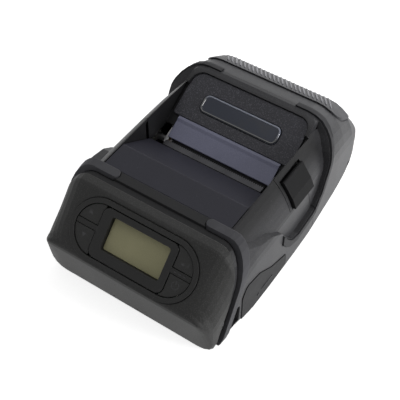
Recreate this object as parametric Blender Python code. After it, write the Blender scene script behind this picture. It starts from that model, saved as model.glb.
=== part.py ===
"""Portable receipt printer: a clamshell body with a display cap, a paper bay and a hinged rear cover.

Metres, +Z up, the front faces -Y, the origin is at the bottom centre. The rear cover turns about a
pin low at the back and carries the paper door plate, its window, the platen roller and the latch.
"""
import bmesh
import bpy
import math
from mathutils import Matrix, Vector

# Overall sizes
LENGTH = 0.160
WIDTH = 0.104
HEIGHT = 0.0613
HALF_LENGTH = LENGTH / 2
HALF_WIDTH = WIDTH / 2

# Walls and clearances
WALL = 0.0020
GAP = 0.0003
RUNNING_GAP = 0.0001
OVERRUN = 0.002
WELD = 0.000003
THIN = 0.0003
# Least step between two faces of one part that would otherwise share a plane
FACE_STEP = 0.0002
MITRE_LIMIT = 0.5

# Side outline as shares of the half length and of the height, each with a fillet as a share of the height
SIDE_SHARES = (
    (-0.925, 0.0, 0.04), (-1.0075, 0.504, 0.065), (-0.694, 0.916, 0.04), (-0.600, 0.914, 0.1),
    (0.360, 0.914, 0.4), (0.520, 0.998, 0.09), (0.700, 0.905, 0.3), (0.845, 0.785, 0.12),
    (1.024, 0.43, 0.20), (0.905, 0.065, 0.12), (0.790, 0.0, 0.12),
)
# Plan outline as shares of the half length and of the half width, each with a fillet as a share of the width
PLAN_SHARES = (
    (-1.008, 0.0, 0.0), (-1.008, 0.955, 0.085), (-0.800, 0.975, 0.2), (-0.440, 1.0, 0.5),
    (0.150, 0.992, 0.5), (0.620, 0.935, 0.4), (0.955, 0.875, 0.09), (1.012, 0.74, 0.09), (1.012, 0.0, 0.0),
)
STATION_SHARES = (
    -0.9985, -0.993, -0.983, -0.968, -0.950, -0.938, -0.928, -0.915, -0.895, -0.86, -0.80, -0.725, -0.70,
    -0.685, -0.665, -0.62, -0.50, -0.30, 0.0, 0.20, 0.36, 0.42, 0.46, 0.49, 0.52, 0.55, 0.60, 0.68,
    0.75, 0.80, 0.84, 0.88, 0.92, 0.95, 0.975, 0.988, 0.9975,
)
SHOULDER_POWER = 2.0
# Shoulder of the section along the body: share of the half length, then its width and height as
# shares of the half width and of the height
SHOULDER_SHARES = ((-1.0, 0.27, 0.40), (-0.66, 0.26, 0.36), (-0.50, 0.23, 0.28), (0.40, 0.23, 0.28),
                   (0.52, 0.38, 0.46), (0.80, 0.34, 0.38), (1.0, 0.26, 0.28))
POD_SHOULDER_WIDTH = 0.0120
POD_SHOULDER_HEIGHT = 0.0190
POD_POWER = 1.35
BOTTOM_RADIUS = 0.0040
NOSE_RADIUS = 0.0090
NOSE_END_SHARE = -0.70
NOSE_FADE_SHARE = 0.20
SECTION_LIMIT_SHARE = 0.46
ARC_STEPS = 7
CORNER_STEPS = 4
FILLET_STEPS = 6

# Deck, valley and pods
DECK_TOP = 0.0558
POD_TOP = 0.0562
CHANNEL_HALF = 0.0375
POD_WALL = 0.0020
DECK_FRONT = -0.0412
DECK_CREASE = -0.0253
DECK_THICK = 0.0020
VALLEY_END = -0.0030
VALLEY_LOW = 0.0395
SCOOP_DEPTH = 0.0026
SCOOP_LAP = 0.0005

# Scoop outline in the side view, as shares of the half length and the height
SCOOP_SHARES = (
    (-0.545, 1.2), (-0.545, 0.84), (-0.45, 0.77), (-0.31, 0.71), (-0.21, 0.61), (-0.14, 0.46),
    (-0.07, 0.345), (0.02, 0.302), (0.24, 0.318), (0.33, 0.42), (0.39, 0.58), (0.44, 0.75),
    (0.49, 0.86), (0.52, 0.95), (0.52, 1.2),
)
SCOOP_FILLET_SHARE = 0.06

# Seam of the clamshell in the side view
SEAM_TOP_Y = -0.0040
SEAM_STEP_Z = 0.0390
SEAM_STEP_Y = 0.0135
SEAM_SIDE_Y = 0.0200
SEAM_SIDE_Z = 0.0200
TRAY_RIM = 0.0032
TRAY_FLOOR = 0.0018

# Hinge of the rear cover
HINGE_Y = 0.0680
HINGE_Z = 0.0080
HINGE_PIN_RADIUS = 0.0015
HINGE_EYE_RADIUS = 0.0032
HINGE_EYE_LENGTH = 0.0060
HINGE_EYE_PLACE = 0.0240
TRAY_END_Y = 0.0640
LUG_LEG_FRONT = 0.0600

# Parting plane of the front cap
PART_Y = -0.0506
PART_Z = 0.0560
PART_TILT = math.radians(24)
RECESS_WIDTH = 0.0039
RECESS_DEPTH = 0.0012
BUMPER_WIDTH = 0.0044
BUMPER_PROUD = 0.0008
BUMPER_SEAT = 0.0012
FRONT_BUMPER_END = 0.0256
REAR_BUMPER_END = 0.0230
REAR_BUMPER_WIDTH = 0.0042

# Sloping face with the display and the keys
FACE_Y = -0.0685
RING_LENGTH = 0.0727
RING_HEIGHT = 0.0321
RING_BAND = 0.0026
RING_PROUD = 0.0007
RING_SEAT = 0.0010
BEZEL_LEFT = -0.0214
BEZEL_RIGHT = 0.0220
BEZEL_TOP = 0.0128
BEZEL_LOW = -0.0128
BEZEL_RADIUS = 0.0035
BEZEL_PROUD = 0.0006
BAR_STEP = 0.0002
BEZEL_DEEP = 0.0030
BAR_WIDTH = 0.0026
BAR_V = 0.0006
LCD_WIDTH = 0.0340
LCD_HEIGHT = 0.0172
LCD_X = 0.0012
LCD_V = 0.0010
LCD_RADIUS = 0.0012
WINDOW_DEEP = 0.0020
WINDOW_THICK = 0.0008
PANEL_THICK = 0.0022
KEY_GAP = 0.0004
KEY_THICK = 0.0030
KEY_PROUD = 0.0002
KEY_TRAVEL = 0.0006
STEM_RADIUS = 0.0014
KEY_BOARD_THICK = 0.0012
KEY_BOARD_LENGTH = 0.0700
KEY_BOARD_HEIGHT = 0.0270

# Cover plate, window and paper exit
PLATE_TILT_LOW_Y = 0.0156
PLATE_LOW_Z = 0.0459
PLATE_HIGH_Y = 0.0384
PLATE_HIGH_Z = 0.0587
PLATE_HALF = 0.0355
PLATE_REAR_HALF = 0.0345
PLATE_THICK = 0.0015
PLATE_CORNER = 0.0090
PLATE_FRONT_CORNER = 0.0012
WINDOW_HALF = 0.0235
WINDOW_HEIGHT = 0.0104
WINDOW_RADIUS = 0.0035
WINDOW_PLACE_SHARE = 0.44
WINDOW_PROUD = 0.0004
EXIT_LOW_Y = 0.0042
EXIT_HALF = 0.0312
EXIT_THICK = 0.0012

# Platen, head and gears
PLATEN_Y = 0.0075
PLATEN_Z = 0.0325
PLATEN_RADIUS = 0.0053
PLATEN_HALF = 0.0290
SHAFT_RADIUS = 0.0020
SHAFT_END = 0.0335
BUSH_RADIUS = 0.0032
CHEEK_PLACE = 0.0315
CHEEK_THICK = 0.0020
MODULE = 0.0005
PLATEN_TEETH = 20
IDLER_TEETH = 24
PINION_TEETH = 12
GEAR_WIDTH = 0.0030
HEAD_HALF = 0.0270
HEAD_THICK = 0.0010
HEAD_LOW = 0.0230
HEAD_HIGH = 0.0375
SINK_THICK = 0.0040
TEAR_HALF = 0.0300
TEAR_THICK = 0.0010
TEAR_TOOTH = 0.0010
TEAR_PITCH = 0.0012

EXPORT_NAME = "portable_receipt_printer"

# Frames in which flat outlines are drawn: first axis, second axis, extrusion axis
ACROSS = Matrix(((0, 0, 1, 0), (1, 0, 0, 0), (0, 1, 0, 0), (0, 0, 0, 1)))
FLAT = Matrix.Identity(4)
UPRIGHT = Matrix(((1, 0, 0, 0), (0, 0, 1, 0), (0, 1, 0, 0), (0, 0, 0, 1)))

# Front cap
FACE_TILT = math.atan2((SIDE_SHARES[2][1] - SIDE_SHARES[1][1]) * HEIGHT,
                       (SIDE_SHARES[2][0] - SIDE_SHARES[1][0]) * HALF_LENGTH)
RING_LEDGE = 0.0010
VENT_PLACES = (-0.0237, -0.0092, 0.0053)
VENT_RADIUS = 0.0005
VENT_Z = 0.0050
VENT_DEPTH = 0.0010

# Exit bar
PLATE_TILT = math.atan2(PLATE_HIGH_Z - PLATE_LOW_Z, PLATE_HIGH_Y - PLATE_TILT_LOW_Y)
EXIT_LIP = 0.0018
EXIT_RISE = 0.0005
EXIT_EDGE = 0.0004

# Rear cover
PLATE_LENGTH = math.hypot(PLATE_HIGH_Z - PLATE_LOW_Z, PLATE_HIGH_Y - PLATE_TILT_LOW_Y)
REAR_SLAB_END = 0.0420
WEB_REACH = 0.0060
WEB_CUT_Y = 0.0100
PLATE_SEAT = PLATE_THICK + GAP
SIDE_SPACE = 0.0180
LUG_NOTCH_Y = 0.0719

# Body blank
FAR = LENGTH
POD_FIRST_SHARE = -0.66
POD_LAST_SHARE = 0.61

LUG_FILL_SHARE = 0.85

# Battery door and base tray
DOOR_FRONT_Y = -0.0715
DOOR_LIFT = 0.0003
GRIP_HALF = 0.0100
GRIP_Y = -0.0600
GRIP_PITCH = 0.0022
GRIP_GROOVE = 0.0010
GRIP_DEPTH = 0.0005
GRIP_COUNT = 5
DOOR_REAR_Y = -0.0240
DOOR_HALF = 0.0360
DOOR_CORNER = 0.0030
DOOR_GAP = 0.0004

# Front case
POD_INNER_LOW = 0.0295
POD_FRONT_WALL_END = -0.0060

# Eyelet block
EYELET_SHARES = ((-0.67, 0.10), (-0.66, 0.31), (-0.79, 0.385), (-0.86, 0.36), (-0.885, 0.23), (-0.82, 0.09))
EYELET_INNER = 0.0430
EYELET_FILLET = 0.0015

# Strap bar
STRAP_BAR_RADIUS = 0.0011
STRAP_BAR_X = 0.0462
STRAP_BAR_Y = -0.0610
STRAP_BAR_GAP = 0.0007

# Rear grip
GRIP_SEAT_DEPTH = 0.0012

# Side trims
TRIM_RIM = 0.0005
TRIM_FRONT_Y = -0.0150

# Connectors and their flap
PORT_HOLES = ((-0.0462, -0.0320, 0.0070, 0.0200), (-0.0310, -0.0154, 0.0084, 0.0152))
PORT_INNER = 0.0440
FLAP_SHARES = ((-0.125, 0.08), (-0.125, 0.225), (-0.32, 0.33), (-0.46, 0.455), (-0.595, 0.477),
               (-0.64, 0.37), (-0.64, 0.08))
FLAP_FILLET_SHARES = (0.01, 0.04, 0.10, 0.10, 0.06, 0.04, 0.01)
FLAP_PROUD = 0.0004
FLAP_SEAT = 0.0010
PORT_BOARD_X = 0.0408
BOARD_THICK = 0.0012
PORT_BOARD_PLACE = (-0.0480, -0.0140, 0.0050, 0.0220)
SERIAL_SIZE = (0.0068, 0.0120, 0.0110)
SERIAL_PLACE = (-0.0391, 0.0135)
USB_SIZE = (0.0062, 0.0070, 0.0040)
USB_PLACE = (-0.0262, 0.0118)
JACK_RADIUS = 0.0028
JACK_BORE = 0.0019
JACK_PIN = 0.0006
JACK_PLACE = (-0.0186, 0.0118)
JACK_LENGTH = 0.0064
SOCKET_WALL = 0.0010
SOCKET_DEPTH = 0.0050

# Keys
KEY_BOARD_TOP = -BEZEL_DEEP - PANEL_THICK - GAP * 2
KEYS = (("key_up", -1, 1), ("key_feed", -1, -1), ("key_enter", 1, 1), ("key_power", 1, -1))
KEY_STEM_X = 0.0275
KEY_INNER_X = 0.0210
KEY_STEM_V = 0.0050

# Deck cover
DECK_LIFT = 0.0016
DECK_ROUND = 0.0012
DECK_EDGE = 0.0005
DECK_SIDE_GAP = 0.0004

# Print head and tear bar
HEAD_FACE = PLATEN_Y - PLATEN_RADIUS - GAP
SINK_TOP = 0.0389

# Springs
SPRING_LENGTH = 0.0046
SPRING_TURNS = 4
SPRING_RADIUS = 0.0020
SPRING_WIRE = 0.0003
SPRING_PLACE = 0.0150
SPRING_Z = 0.0300
SPRING_STEPS = 8

# Mechanism frame and drive
FRAME_THICK = 0.0012
FRAME_HALF = 0.0262
FRAME_HIGH = 0.0360
FRAME_LOW = TRAY_FLOOR + GAP
FRAME_FOOT = 0.0120
GEAR_PLATE_X = -0.0400
GEAR_PLATE_THICK = 0.0010
CENTRE_GAP = 0.00008
PLATEN_PITCH = MODULE * PLATEN_TEETH / 2
IDLER_PITCH = MODULE * IDLER_TEETH / 2
PINION_PITCH = MODULE * PINION_TEETH / 2
IDLER_REACH = PLATEN_PITCH + IDLER_PITCH + CENTRE_GAP
MOTOR_REACH = IDLER_PITCH + PINION_PITCH + CENTRE_GAP
IDLER_TURN = math.radians(225)
IDLER_Y = PLATEN_Y + IDLER_REACH * math.cos(IDLER_TURN)
IDLER_Z = PLATEN_Z + IDLER_REACH * math.sin(IDLER_TURN)
MOTOR_TURN = math.radians(216)
MOTOR_Y = IDLER_Y + MOTOR_REACH * math.cos(MOTOR_TURN)
MOTOR_Z = IDLER_Z + MOTOR_REACH * math.sin(MOTOR_TURN)
MOTOR_SHAFT = 0.0010
IDLER_PIN = 0.0010
PLATE_MARGIN = 0.0060
MOTOR_RADIUS = 0.0095
MOTOR_INNER = -0.0282
GEAR_INNER = -0.0414
GEAR_OUTER = GEAR_INNER - GEAR_WIDTH
TOOTH_FOOT_SHARE = 0.29
TOOTH_TIP_SHARE = 0.12
ROOT_MODULES = 1.2
TIP_MODULES = 0.85

# Platen bracket
CHEEK_MARGIN = 0.0016
CHEEK_REAR = 0.0020
CHEEK_BAR = 0.0040

PLATE_TAPER_SHARE = 0.55

# Grip on the hood
GRIP_FRONT_Y = 0.0545
GRIP_REAR_Y = 0.0735
GRIP_LOW_Z = 0.0400
GRIP_HALF_X = 0.0420
GRIP_CORNER = 0.0060
GRIP_PROUD = 0.0006

# Release button
BUTTON_FRONT = -0.0015
BUTTON_REAR = 0.0165
BUTTON_GAP = 0.0005
BUTTON_TILT = math.radians(18)
BUTTON_TRAVEL = 0.0015
BUTTON_SPRING_START = 0.0413
BUTTON_SPRING_END = 0.0437
BUTTON_SPRING_Z = 0.0462
BUTTON_SPRING_HOLE = 0.0024
BUTTON_POINTS = ((0.0423, 0.0546), (0.0482, 0.0458), (0.0508, 0.0397), (0.0482, 0.0397), (0.0455, 0.0446),
                 (0.0408, 0.0528))
BUTTON_FILLET = 0.0006
BUTTON_SPRING_RADIUS = 0.0013

# Latch
HOOK_INNER = 0.0401
HOOK_THICK = 0.0016
HOOK_Y = 0.0150
HOOK_Z = 0.0430
HOOK_EYE = 0.0022
HOOK_PIN_RADIUS = 0.0010
HOOK_LOW = 0.0295
HOOK_ARM = 0.0020
CATCH_Y = 0.0100
CATCH_THICK = 0.0014
CATCH_LOW = 0.0270
CATCH_HIGH = 0.0315
CATCH_OUTER = 0.0465

# Battery
BATTERY_HALF = 0.0345
BATTERY_FRONT = -0.0670
BATTERY_REAR = -0.0270
BATTERY_HIGH = 0.0205
BATTERY_ROUND = 0.0030

# Main board and its screws
MAIN_BOARD_Z = 0.0240
MAIN_BOARD_HALF = 0.0402
MAIN_BOARD_FRONT = -0.0500
MAIN_BOARD_REAR = -0.0190
SCREW_SHANK = 0.0007
POST_RADIUS = 0.0015
SCREW_LENGTH = 0.0040
POST_X = 0.0384
POST_FRONT = -0.0470
POST_REAR = -0.0232
SCREW_HEAD = 0.0015
SCREW_HEAD_HIGH = 0.0009

# Paper cradle and sensor
CRADLE_Y = 0.0410
CRADLE_Z = 0.0245
CRADLE_RADIUS = 0.0210
CRADLE_THICK = 0.0012
CRADLE_HALF = 0.0300
CRADLE_STEPS = 20
SENSOR_SIZE = (0.0080, 0.0026, 0.0060)


def fillet_outline(points, radii, steps=FILLET_STEPS):
    """Closed outline with each corner rounded by its own radius."""
    result = []
    count = len(points)
    for index in range(count):
        here = Vector(points[index])
        before = (Vector(points[index - 1]) - here)
        after = (Vector(points[(index + 1) % count]) - here)
        radius = radii[index]
        if radius <= 0:
            result.append((here.x, here.y))
            continue
        angle = before.angle(after)
        reach = radius / math.tan(angle / 2)
        limit = min(before.length, after.length) / 2
        reach = min(reach, limit)
        radius = reach * math.tan(angle / 2)
        start = here + before.normalized() * reach
        bisector = (before.normalized() + after.normalized()).normalized()
        centre = here + bisector * (radius / math.sin(angle / 2))
        first = start - centre
        last = here + after.normalized() * reach - centre
        sweep = first.angle(last)
        turn = 1 if first.cross(last) > 0 else -1
        for step in range(steps + 1):
            share = step / steps * sweep * turn
            point = centre + Matrix.Rotation(share, 2) @ first
            result.append((point.x, point.y))
    return result


def round_rectangle(width, height, radius, centre=(0, 0), steps=FILLET_STEPS):
    """Rectangle outline with round corners."""
    x, y = centre
    corners = [(x - width / 2, y - height / 2), (x + width / 2, y - height / 2),
               (x + width / 2, y + height / 2), (x - width / 2, y + height / 2)]
    return fillet_outline(corners, [radius] * len(corners), steps)


def circle_outline(radius, centre=(0, 0), steps=24):
    """Circle as a closed outline."""
    turns = [2 * math.pi * step / steps for step in range(steps)]
    return [(centre[0] + radius * math.cos(a), centre[1] + radius * math.sin(a)) for a in turns]


def grown_outline(points, distance):
    """Outline pushed outwards by a distance, with its corners mitred."""
    count = len(points)
    area = sum(points[i - 1][0] * points[i][1] - points[i][0] * points[i - 1][1] for i in range(count))
    side = 1 if area > 0 else -1
    result = []
    for index in range(count):
        here = Vector(points[index])
        one = (here - Vector(points[index - 1])).normalized()
        two = (Vector(points[(index + 1) % count]) - here).normalized()
        normal_one = Vector((one.y, -one.x)) * side
        normal_two = Vector((two.y, -two.x)) * side
        middle = (normal_one + normal_two).normalized()
        spread = max(middle.dot(normal_one), MITRE_LIMIT)
        point = here + middle * (distance / spread)
        result.append((point.x, point.y))
    return result


def swept_outline(points, move):
    """Outline of a convex shape and of its straight path along a move."""
    count = len(points)
    area = sum(points[i - 1][0] * points[i][1] - points[i][0] * points[i - 1][1] for i in range(count))
    turn = 1 if area > 0 else -1
    result = []
    for index in range(count):
        here = Vector(points[index])
        one = here - Vector(points[index - 1])
        two = Vector(points[(index + 1) % count]) - here
        ahead = [(edge.y * move.x - edge.x * move.y) * turn > 0 for edge in (one, two)]
        places = ahead if ahead[0] != ahead[1] else ahead[:1]
        result += [tuple(here + move) if moved else tuple(here) for moved in places]
    return result


SIDE_OUTLINE = fillet_outline([(y * HALF_LENGTH, z * HEIGHT) for y, z, r in SIDE_SHARES],
                              [r * HEIGHT for y, z, r in SIDE_SHARES])
PLAN_OUTLINE = fillet_outline([(y * HALF_LENGTH, x * HALF_WIDTH) for y, x, r in PLAN_SHARES],
                              [r * WIDTH for y, x, r in PLAN_SHARES])
SCOOP_OUTLINE = fillet_outline([(y * HALF_LENGTH, z * HEIGHT) for y, z in SCOOP_SHARES],
                               [0 if z > 1 else SCOOP_FILLET_SHARE * HEIGHT for y, z in SCOOP_SHARES], 2)


FRONT_Y = min(y for y, z in SIDE_OUTLINE)
REAR_Y = max(y for y, z in SIDE_OUTLINE)


def span(outline, across):
    """Lowest and highest place where a line of constant first coordinate meets the outline."""
    found = []
    for index in range(len(outline)):
        (a, low), (b, high) = outline[index - 1], outline[index]
        if a != b and min(a, b) <= across <= max(a, b):
            found.append(low + (high - low) * (across - a) / (b - a))
    return min(found), max(found)


def tilted_frame(origin, tilt):
    """Frame whose first axis is X and whose second axis climbs backwards by the tilt."""
    return Matrix.Translation(Vector(origin)) @ Matrix.Rotation(tilt, 4, 'X')


FACE_Z = span(SIDE_OUTLINE, FACE_Y)[1]
FACE = tilted_frame((0, FACE_Y, FACE_Z), FACE_TILT)
PARTING = tilted_frame((0, PART_Y, PART_Z), -PART_TILT)
PLATE = tilted_frame((0, PLATE_TILT_LOW_Y, PLATE_LOW_Z), PLATE_TILT)


def start_scene():
    """Remove what the scene holds and make the two collections."""
    for item in list(bpy.data.objects):
        bpy.data.objects.remove(item, do_unlink=True)
    for name in (EXPORT_NAME, "cutters"):
        group = bpy.data.collections.new(name)
        bpy.context.scene.collection.children.link(group)


def material(name, colour, roughness, metallic=0.0):
    """Principled material with a plain colour."""
    made = bpy.data.materials.new(name)
    made.use_nodes = True
    shader = made.node_tree.nodes["Principled BSDF"]
    shader.inputs["Base Color"].default_value = (*colour, 1.0)
    shader.inputs["Roughness"].default_value = roughness
    shader.inputs["Metallic"].default_value = metallic
    made.diffuse_color = (*colour, 1.0)
    return made


def object_from(bm, name):
    """Turn a bmesh into an object of the cutters collection."""
    bmesh.ops.recalc_face_normals(bm, faces=bm.faces)
    mesh = bpy.data.meshes.new(name)
    bm.to_mesh(mesh)
    bm.free()
    made = bpy.data.objects.new(name, mesh)
    bpy.data.collections["cutters"].objects.link(made)
    made.hide_render = True
    made.display_type = 'WIRE'
    return made


def distinct(points):
    """Outline without corners that fall on the one before."""
    return [here for index, here in enumerate(points)
            if (Vector(here) - Vector(points[index - 1])).length > WELD]


def prism(name, outline, low, high, frame=FLAT):
    """Outline drawn in a frame and extruded along its third axis."""
    bm = bmesh.new()
    corners = [bm.verts.new((x, y, low)) for x, y in distinct(outline)]
    face = bm.faces.new(corners)
    extruded = bmesh.ops.extrude_face_region(bm, geom=[face])
    moved = [item for item in extruded["geom"] if isinstance(item, bmesh.types.BMVert)]
    bmesh.ops.translate(bm, verts=moved, vec=(0, 0, high - low))
    bmesh.ops.transform(bm, matrix=frame, verts=bm.verts)
    return object_from(bm, name)


def block(name, low, high):
    """Box between two corners."""
    outline = [(low[0], low[1]), (high[0], low[1]), (high[0], high[1]), (low[0], high[1])]
    return prism(name, outline, low[2], high[2])


def rod(name, radius, start, end, y, z, steps=24):
    """Round bar along X."""
    return prism(name, circle_outline(radius, (y, z), steps), start, end, ACROSS)


def ring_points(half, low, high, bottom, wide, tall, power):
    """Section outline, from the bottom centre up the right side and down the left."""
    right = [(0, low)]
    for step in range(CORNER_STEPS + 1):
        angle = -math.pi / 2 + math.pi / 2 * step / CORNER_STEPS
        right.append((half - bottom + bottom * math.cos(angle), low + bottom + bottom * math.sin(angle)))
    for step in range(ARC_STEPS + 1):
        angle = math.pi / 2 * step / ARC_STEPS
        out, up = math.cos(angle) ** (2 / power), math.sin(angle) ** (2 / power)
        right.append((half - wide + wide * out, high - tall + tall * up))
    left = [(-x, z) for x, z in reversed(right)]
    return right + [(0, high)] + left[:-1]


def shoulder_at(place):
    """Width and height of the section's shoulder at a share of the half length."""
    for before, after in zip(SHOULDER_SHARES, SHOULDER_SHARES[1:]):
        if place <= after[0]:
            break
    part = (place - before[0]) / (after[0] - before[0])
    wide = before[1] + (after[1] - before[1]) * part
    tall = before[2] + (after[2] - before[2]) * part
    return wide * HALF_WIDTH, tall * HEIGHT


def envelope(name, grow=0.0, inset=0.0, roof=None, first=-1.0, last=1.0):
    """Lofted body: grow moves the whole surface out, inset narrows it, roof holds its top flat."""
    bm = bmesh.new()
    rings = []
    pod = roof is not None
    power = POD_POWER if pod else SHOULDER_POWER
    stretch = (HALF_LENGTH + grow) / HALF_LENGTH
    for share in STATION_SHARES:
        if share < first or share > last:
            continue
        y = share * (REAR_Y if share > 0 else -FRONT_Y)
        low, high = span(SIDE_OUTLINE, y)
        if pod:
            high = roof
        half = span(PLAN_OUTLINE, y)[1] + grow - inset
        middle = (low + high) / 2
        low, high = min(low - grow, middle - THIN), max(high + grow, middle + THIN)
        fade = min(max((NOSE_END_SHARE + NOSE_FADE_SHARE - share) / NOSE_FADE_SHARE, 0), 1)
        bottom = BOTTOM_RADIUS + (NOSE_RADIUS - BOTTOM_RADIUS) * fade
        shoulder = (POD_SHOULDER_WIDTH, POD_SHOULDER_HEIGHT) if pod else shoulder_at(share)
        limit = (high - low) * SECTION_LIMIT_SHARE
        bottom = min(bottom, limit)
        tall = min(shoulder[1], limit)
        wide = min(shoulder[0], limit * 2)
        points = ring_points(half, low, high, bottom, wide, tall, power)
        rings.append([bm.verts.new((x, y * stretch, z)) for x, z in points])
    for one, two in zip(rings, rings[1:]):
        for index in range(len(one)):
            after = (index + 1) % len(one)
            bm.faces.new((one[index], one[after], two[after], two[index]))
    bm.faces.new(rings[0])
    bm.faces.new(rings[-1])
    return object_from(bm, name)


def combine(first, second, operation):
    """Boolean of two cutters, baked into the first; the second is removed."""
    step = first.modifiers.new("join", 'BOOLEAN')
    step.operation = operation
    step.object = second
    graph = bpy.context.evaluated_depsgraph_get()
    mesh = bpy.data.meshes.new_from_object(first.evaluated_get(graph))
    bm = bmesh.new()
    bm.from_mesh(mesh)
    bmesh.ops.remove_doubles(bm, verts=bm.verts, dist=WELD)
    bmesh.ops.dissolve_degenerate(bm, dist=WELD, edges=bm.edges)
    bm.to_mesh(mesh)
    bm.free()
    first.modifiers.clear()
    first.data = mesh
    bpy.data.objects.remove(second, do_unlink=True)
    return first


def join(*pieces):
    """Union of overlapping cutters."""
    whole = pieces[0]
    for piece in pieces[1:]:
        whole = combine(whole, piece, 'UNION')
    return whole


def less(whole, *pieces):
    """The first cutter without the others."""
    for piece in pieces:
        whole = combine(whole, piece, 'DIFFERENCE')
    return whole


def within(whole, piece):
    """The part of the first cutter that lies in the second."""
    return combine(whole, piece, 'INTERSECT')


def keep(source, name, finish, pivot=None, smooth=35):
    """Make a cutter a named part with its finish, its origin on its pivot and smooth round faces."""
    source.name = name
    source.data.name = name
    source.hide_render = False
    source.display_type = 'TEXTURED'
    bpy.data.collections["cutters"].objects.unlink(source)
    bpy.data.collections[EXPORT_NAME].objects.link(source)
    bm = bmesh.new()
    bm.from_mesh(source.data)
    bmesh.ops.remove_doubles(bm, verts=bm.verts, dist=GAP / 100)
    bm.to_mesh(source.data)
    bm.free()
    source.data.materials.clear()
    source.data.materials.append(finish)
    source.data.shade_smooth()
    source.data.set_sharp_from_angle(angle=math.radians(smooth))
    if pivot is not None:
        source.data.transform(Matrix.Translation(-Vector(pivot)))
        source.location = pivot
    return source


def side_prism(name, outline, low, high):
    """Outline of the side view extruded along X."""
    return prism(name, outline, low, high, ACROSS)


def both_sides(name, outline, inner, outer):
    """The same side outline extruded on the right and on the left."""
    return join(side_prism(name, outline, inner, outer), side_prism(name + "_left", outline, -outer, -inner))


def body_blank(grow=0.0, inner=CHANNEL_HALF - SCOOP_LAP):
    """Outer body with its side scoops and pods, or a smaller one when grow is negative."""
    scoop = both_sides("scoop", grown_outline(SCOOP_OUTLINE, -grow), inner, FAR)
    body = less(envelope("body", grow), scoop)
    pods = envelope("pods", grow, SCOOP_DEPTH, POD_TOP, POD_FIRST_SHARE, POD_LAST_SHARE)
    return join(body, pods)


def seam_outline(front):
    """Side view region of the front case or of the rear cover, half a gap from the seam."""
    seam = [(SEAM_SIDE_Y, TRAY_RIM), (SEAM_SIDE_Y, SEAM_SIDE_Z), (SEAM_STEP_Y, SEAM_STEP_Z),
            (SEAM_TOP_Y, SEAM_STEP_Z), (SEAM_TOP_Y, FAR)]
    if front:
        region = [(-FAR, TRAY_RIM)] + seam + [(-FAR, FAR)]
    else:
        region = seam[::-1] + [(FAR, TRAY_RIM), (FAR, FAR)]
    return grown_outline(region, -GAP / 2)


def slab_walls(first, last, low, proud=0):
    """Inner walls of both pods."""
    outline = [(first, low), (last, low), (last, FAR), (first, FAR)]
    return both_sides("slab", outline, CHANNEL_HALF - proud, CHANNEL_HALF + POD_WALL)


def parting_block(name, start, end, low=-FAR, high=FAR):
    """Slice between two distances behind the parting plane of the cap."""
    outline = [(low, start), (high, start), (high, end), (low, end)]
    return prism(name, outline, -FAR, FAR, PARTING)


def make_base_tray(finish):
    """Shallow bottom tray with the hinge lugs and the battery door opening."""
    region = block("tray_region", (-FAR, -FAR, -FAR), (FAR, TRAY_END_Y, TRAY_RIM - GAP / 2))
    tray = within(envelope("tray"), region)
    hollow = envelope("tray_hollow", -WALL)
    hollow = within(hollow, block("tray_space", (-FAR, -FAR, TRAY_FLOOR), (FAR, TRAY_END_Y - WALL, FAR)))
    tray = less(tray, hollow, parting_block("cap_side", -FAR, GAP))
    for side in (-1, 1):
        tray = join(tray, hinge_lug(side))
    pin = rod("pin_hole", HINGE_PIN_RADIUS + RUNNING_GAP, -FAR, FAR, HINGE_Y, HINGE_Z)
    door = door_outline(DOOR_GAP)
    for place in post_places():
        tray = join(tray, board_post(place))
    tray = less(tray, pin, prism("door_hole", door, -OVERRUN, FAR))
    return keep(tray, "base_tray", finish)


def hinge_lug(side):
    """Lug of the tray round the hinge pin."""
    inner = (HINGE_EYE_PLACE - HINGE_EYE_LENGTH) * side
    outer = HINGE_EYE_PLACE * side
    eye = rod("lug", HINGE_EYE_RADIUS, min(inner, outer), max(inner, outer), HINGE_Y, HINGE_Z)
    leg = side_prism("leg", [(LUG_LEG_FRONT, TRAY_FLOOR - GAP), (TRAY_END_Y, TRAY_FLOOR - GAP),
                             (HINGE_Y, HINGE_Z - HINGE_EYE_RADIUS * LUG_FILL_SHARE),
                             (HINGE_Y, HINGE_Z + HINGE_EYE_RADIUS * LUG_FILL_SHARE),
                             (LUG_LEG_FRONT, HINGE_Z)], min(inner, outer), max(inner, outer))
    return join(eye, leg)


def door_outline(grow):
    """Plan outline of the battery door, open towards the front."""
    outline = [(-DOOR_HALF - grow, -FAR), (DOOR_HALF + grow, -FAR),
               (DOOR_HALF + grow, DOOR_REAR_Y + grow), (-DOOR_HALF - grow, DOOR_REAR_Y + grow)]
    return fillet_outline(outline, [0, 0, DOOR_CORNER, DOOR_CORNER])


def make_battery_door(finish):
    """Flat door under the battery; it slides forwards out of the tray."""
    door = prism("door", door_outline(0), DOOR_LIFT, TRAY_FLOOR)
    front = block("door_front", (-FAR, DOOR_FRONT_Y, -FAR), (FAR, FAR, FAR))
    door = within(door, front)
    grip = [block("grip", (-GRIP_HALF, GRIP_Y + GRIP_PITCH * index, -OVERRUN),
                  (GRIP_HALF, GRIP_Y + GRIP_PITCH * index + GRIP_GROOVE, DOOR_LIFT + GRIP_DEPTH))
            for index in range(GRIP_COUNT)]
    door = less(door, *grip)
    return keep(door, "battery_door", finish)


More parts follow.
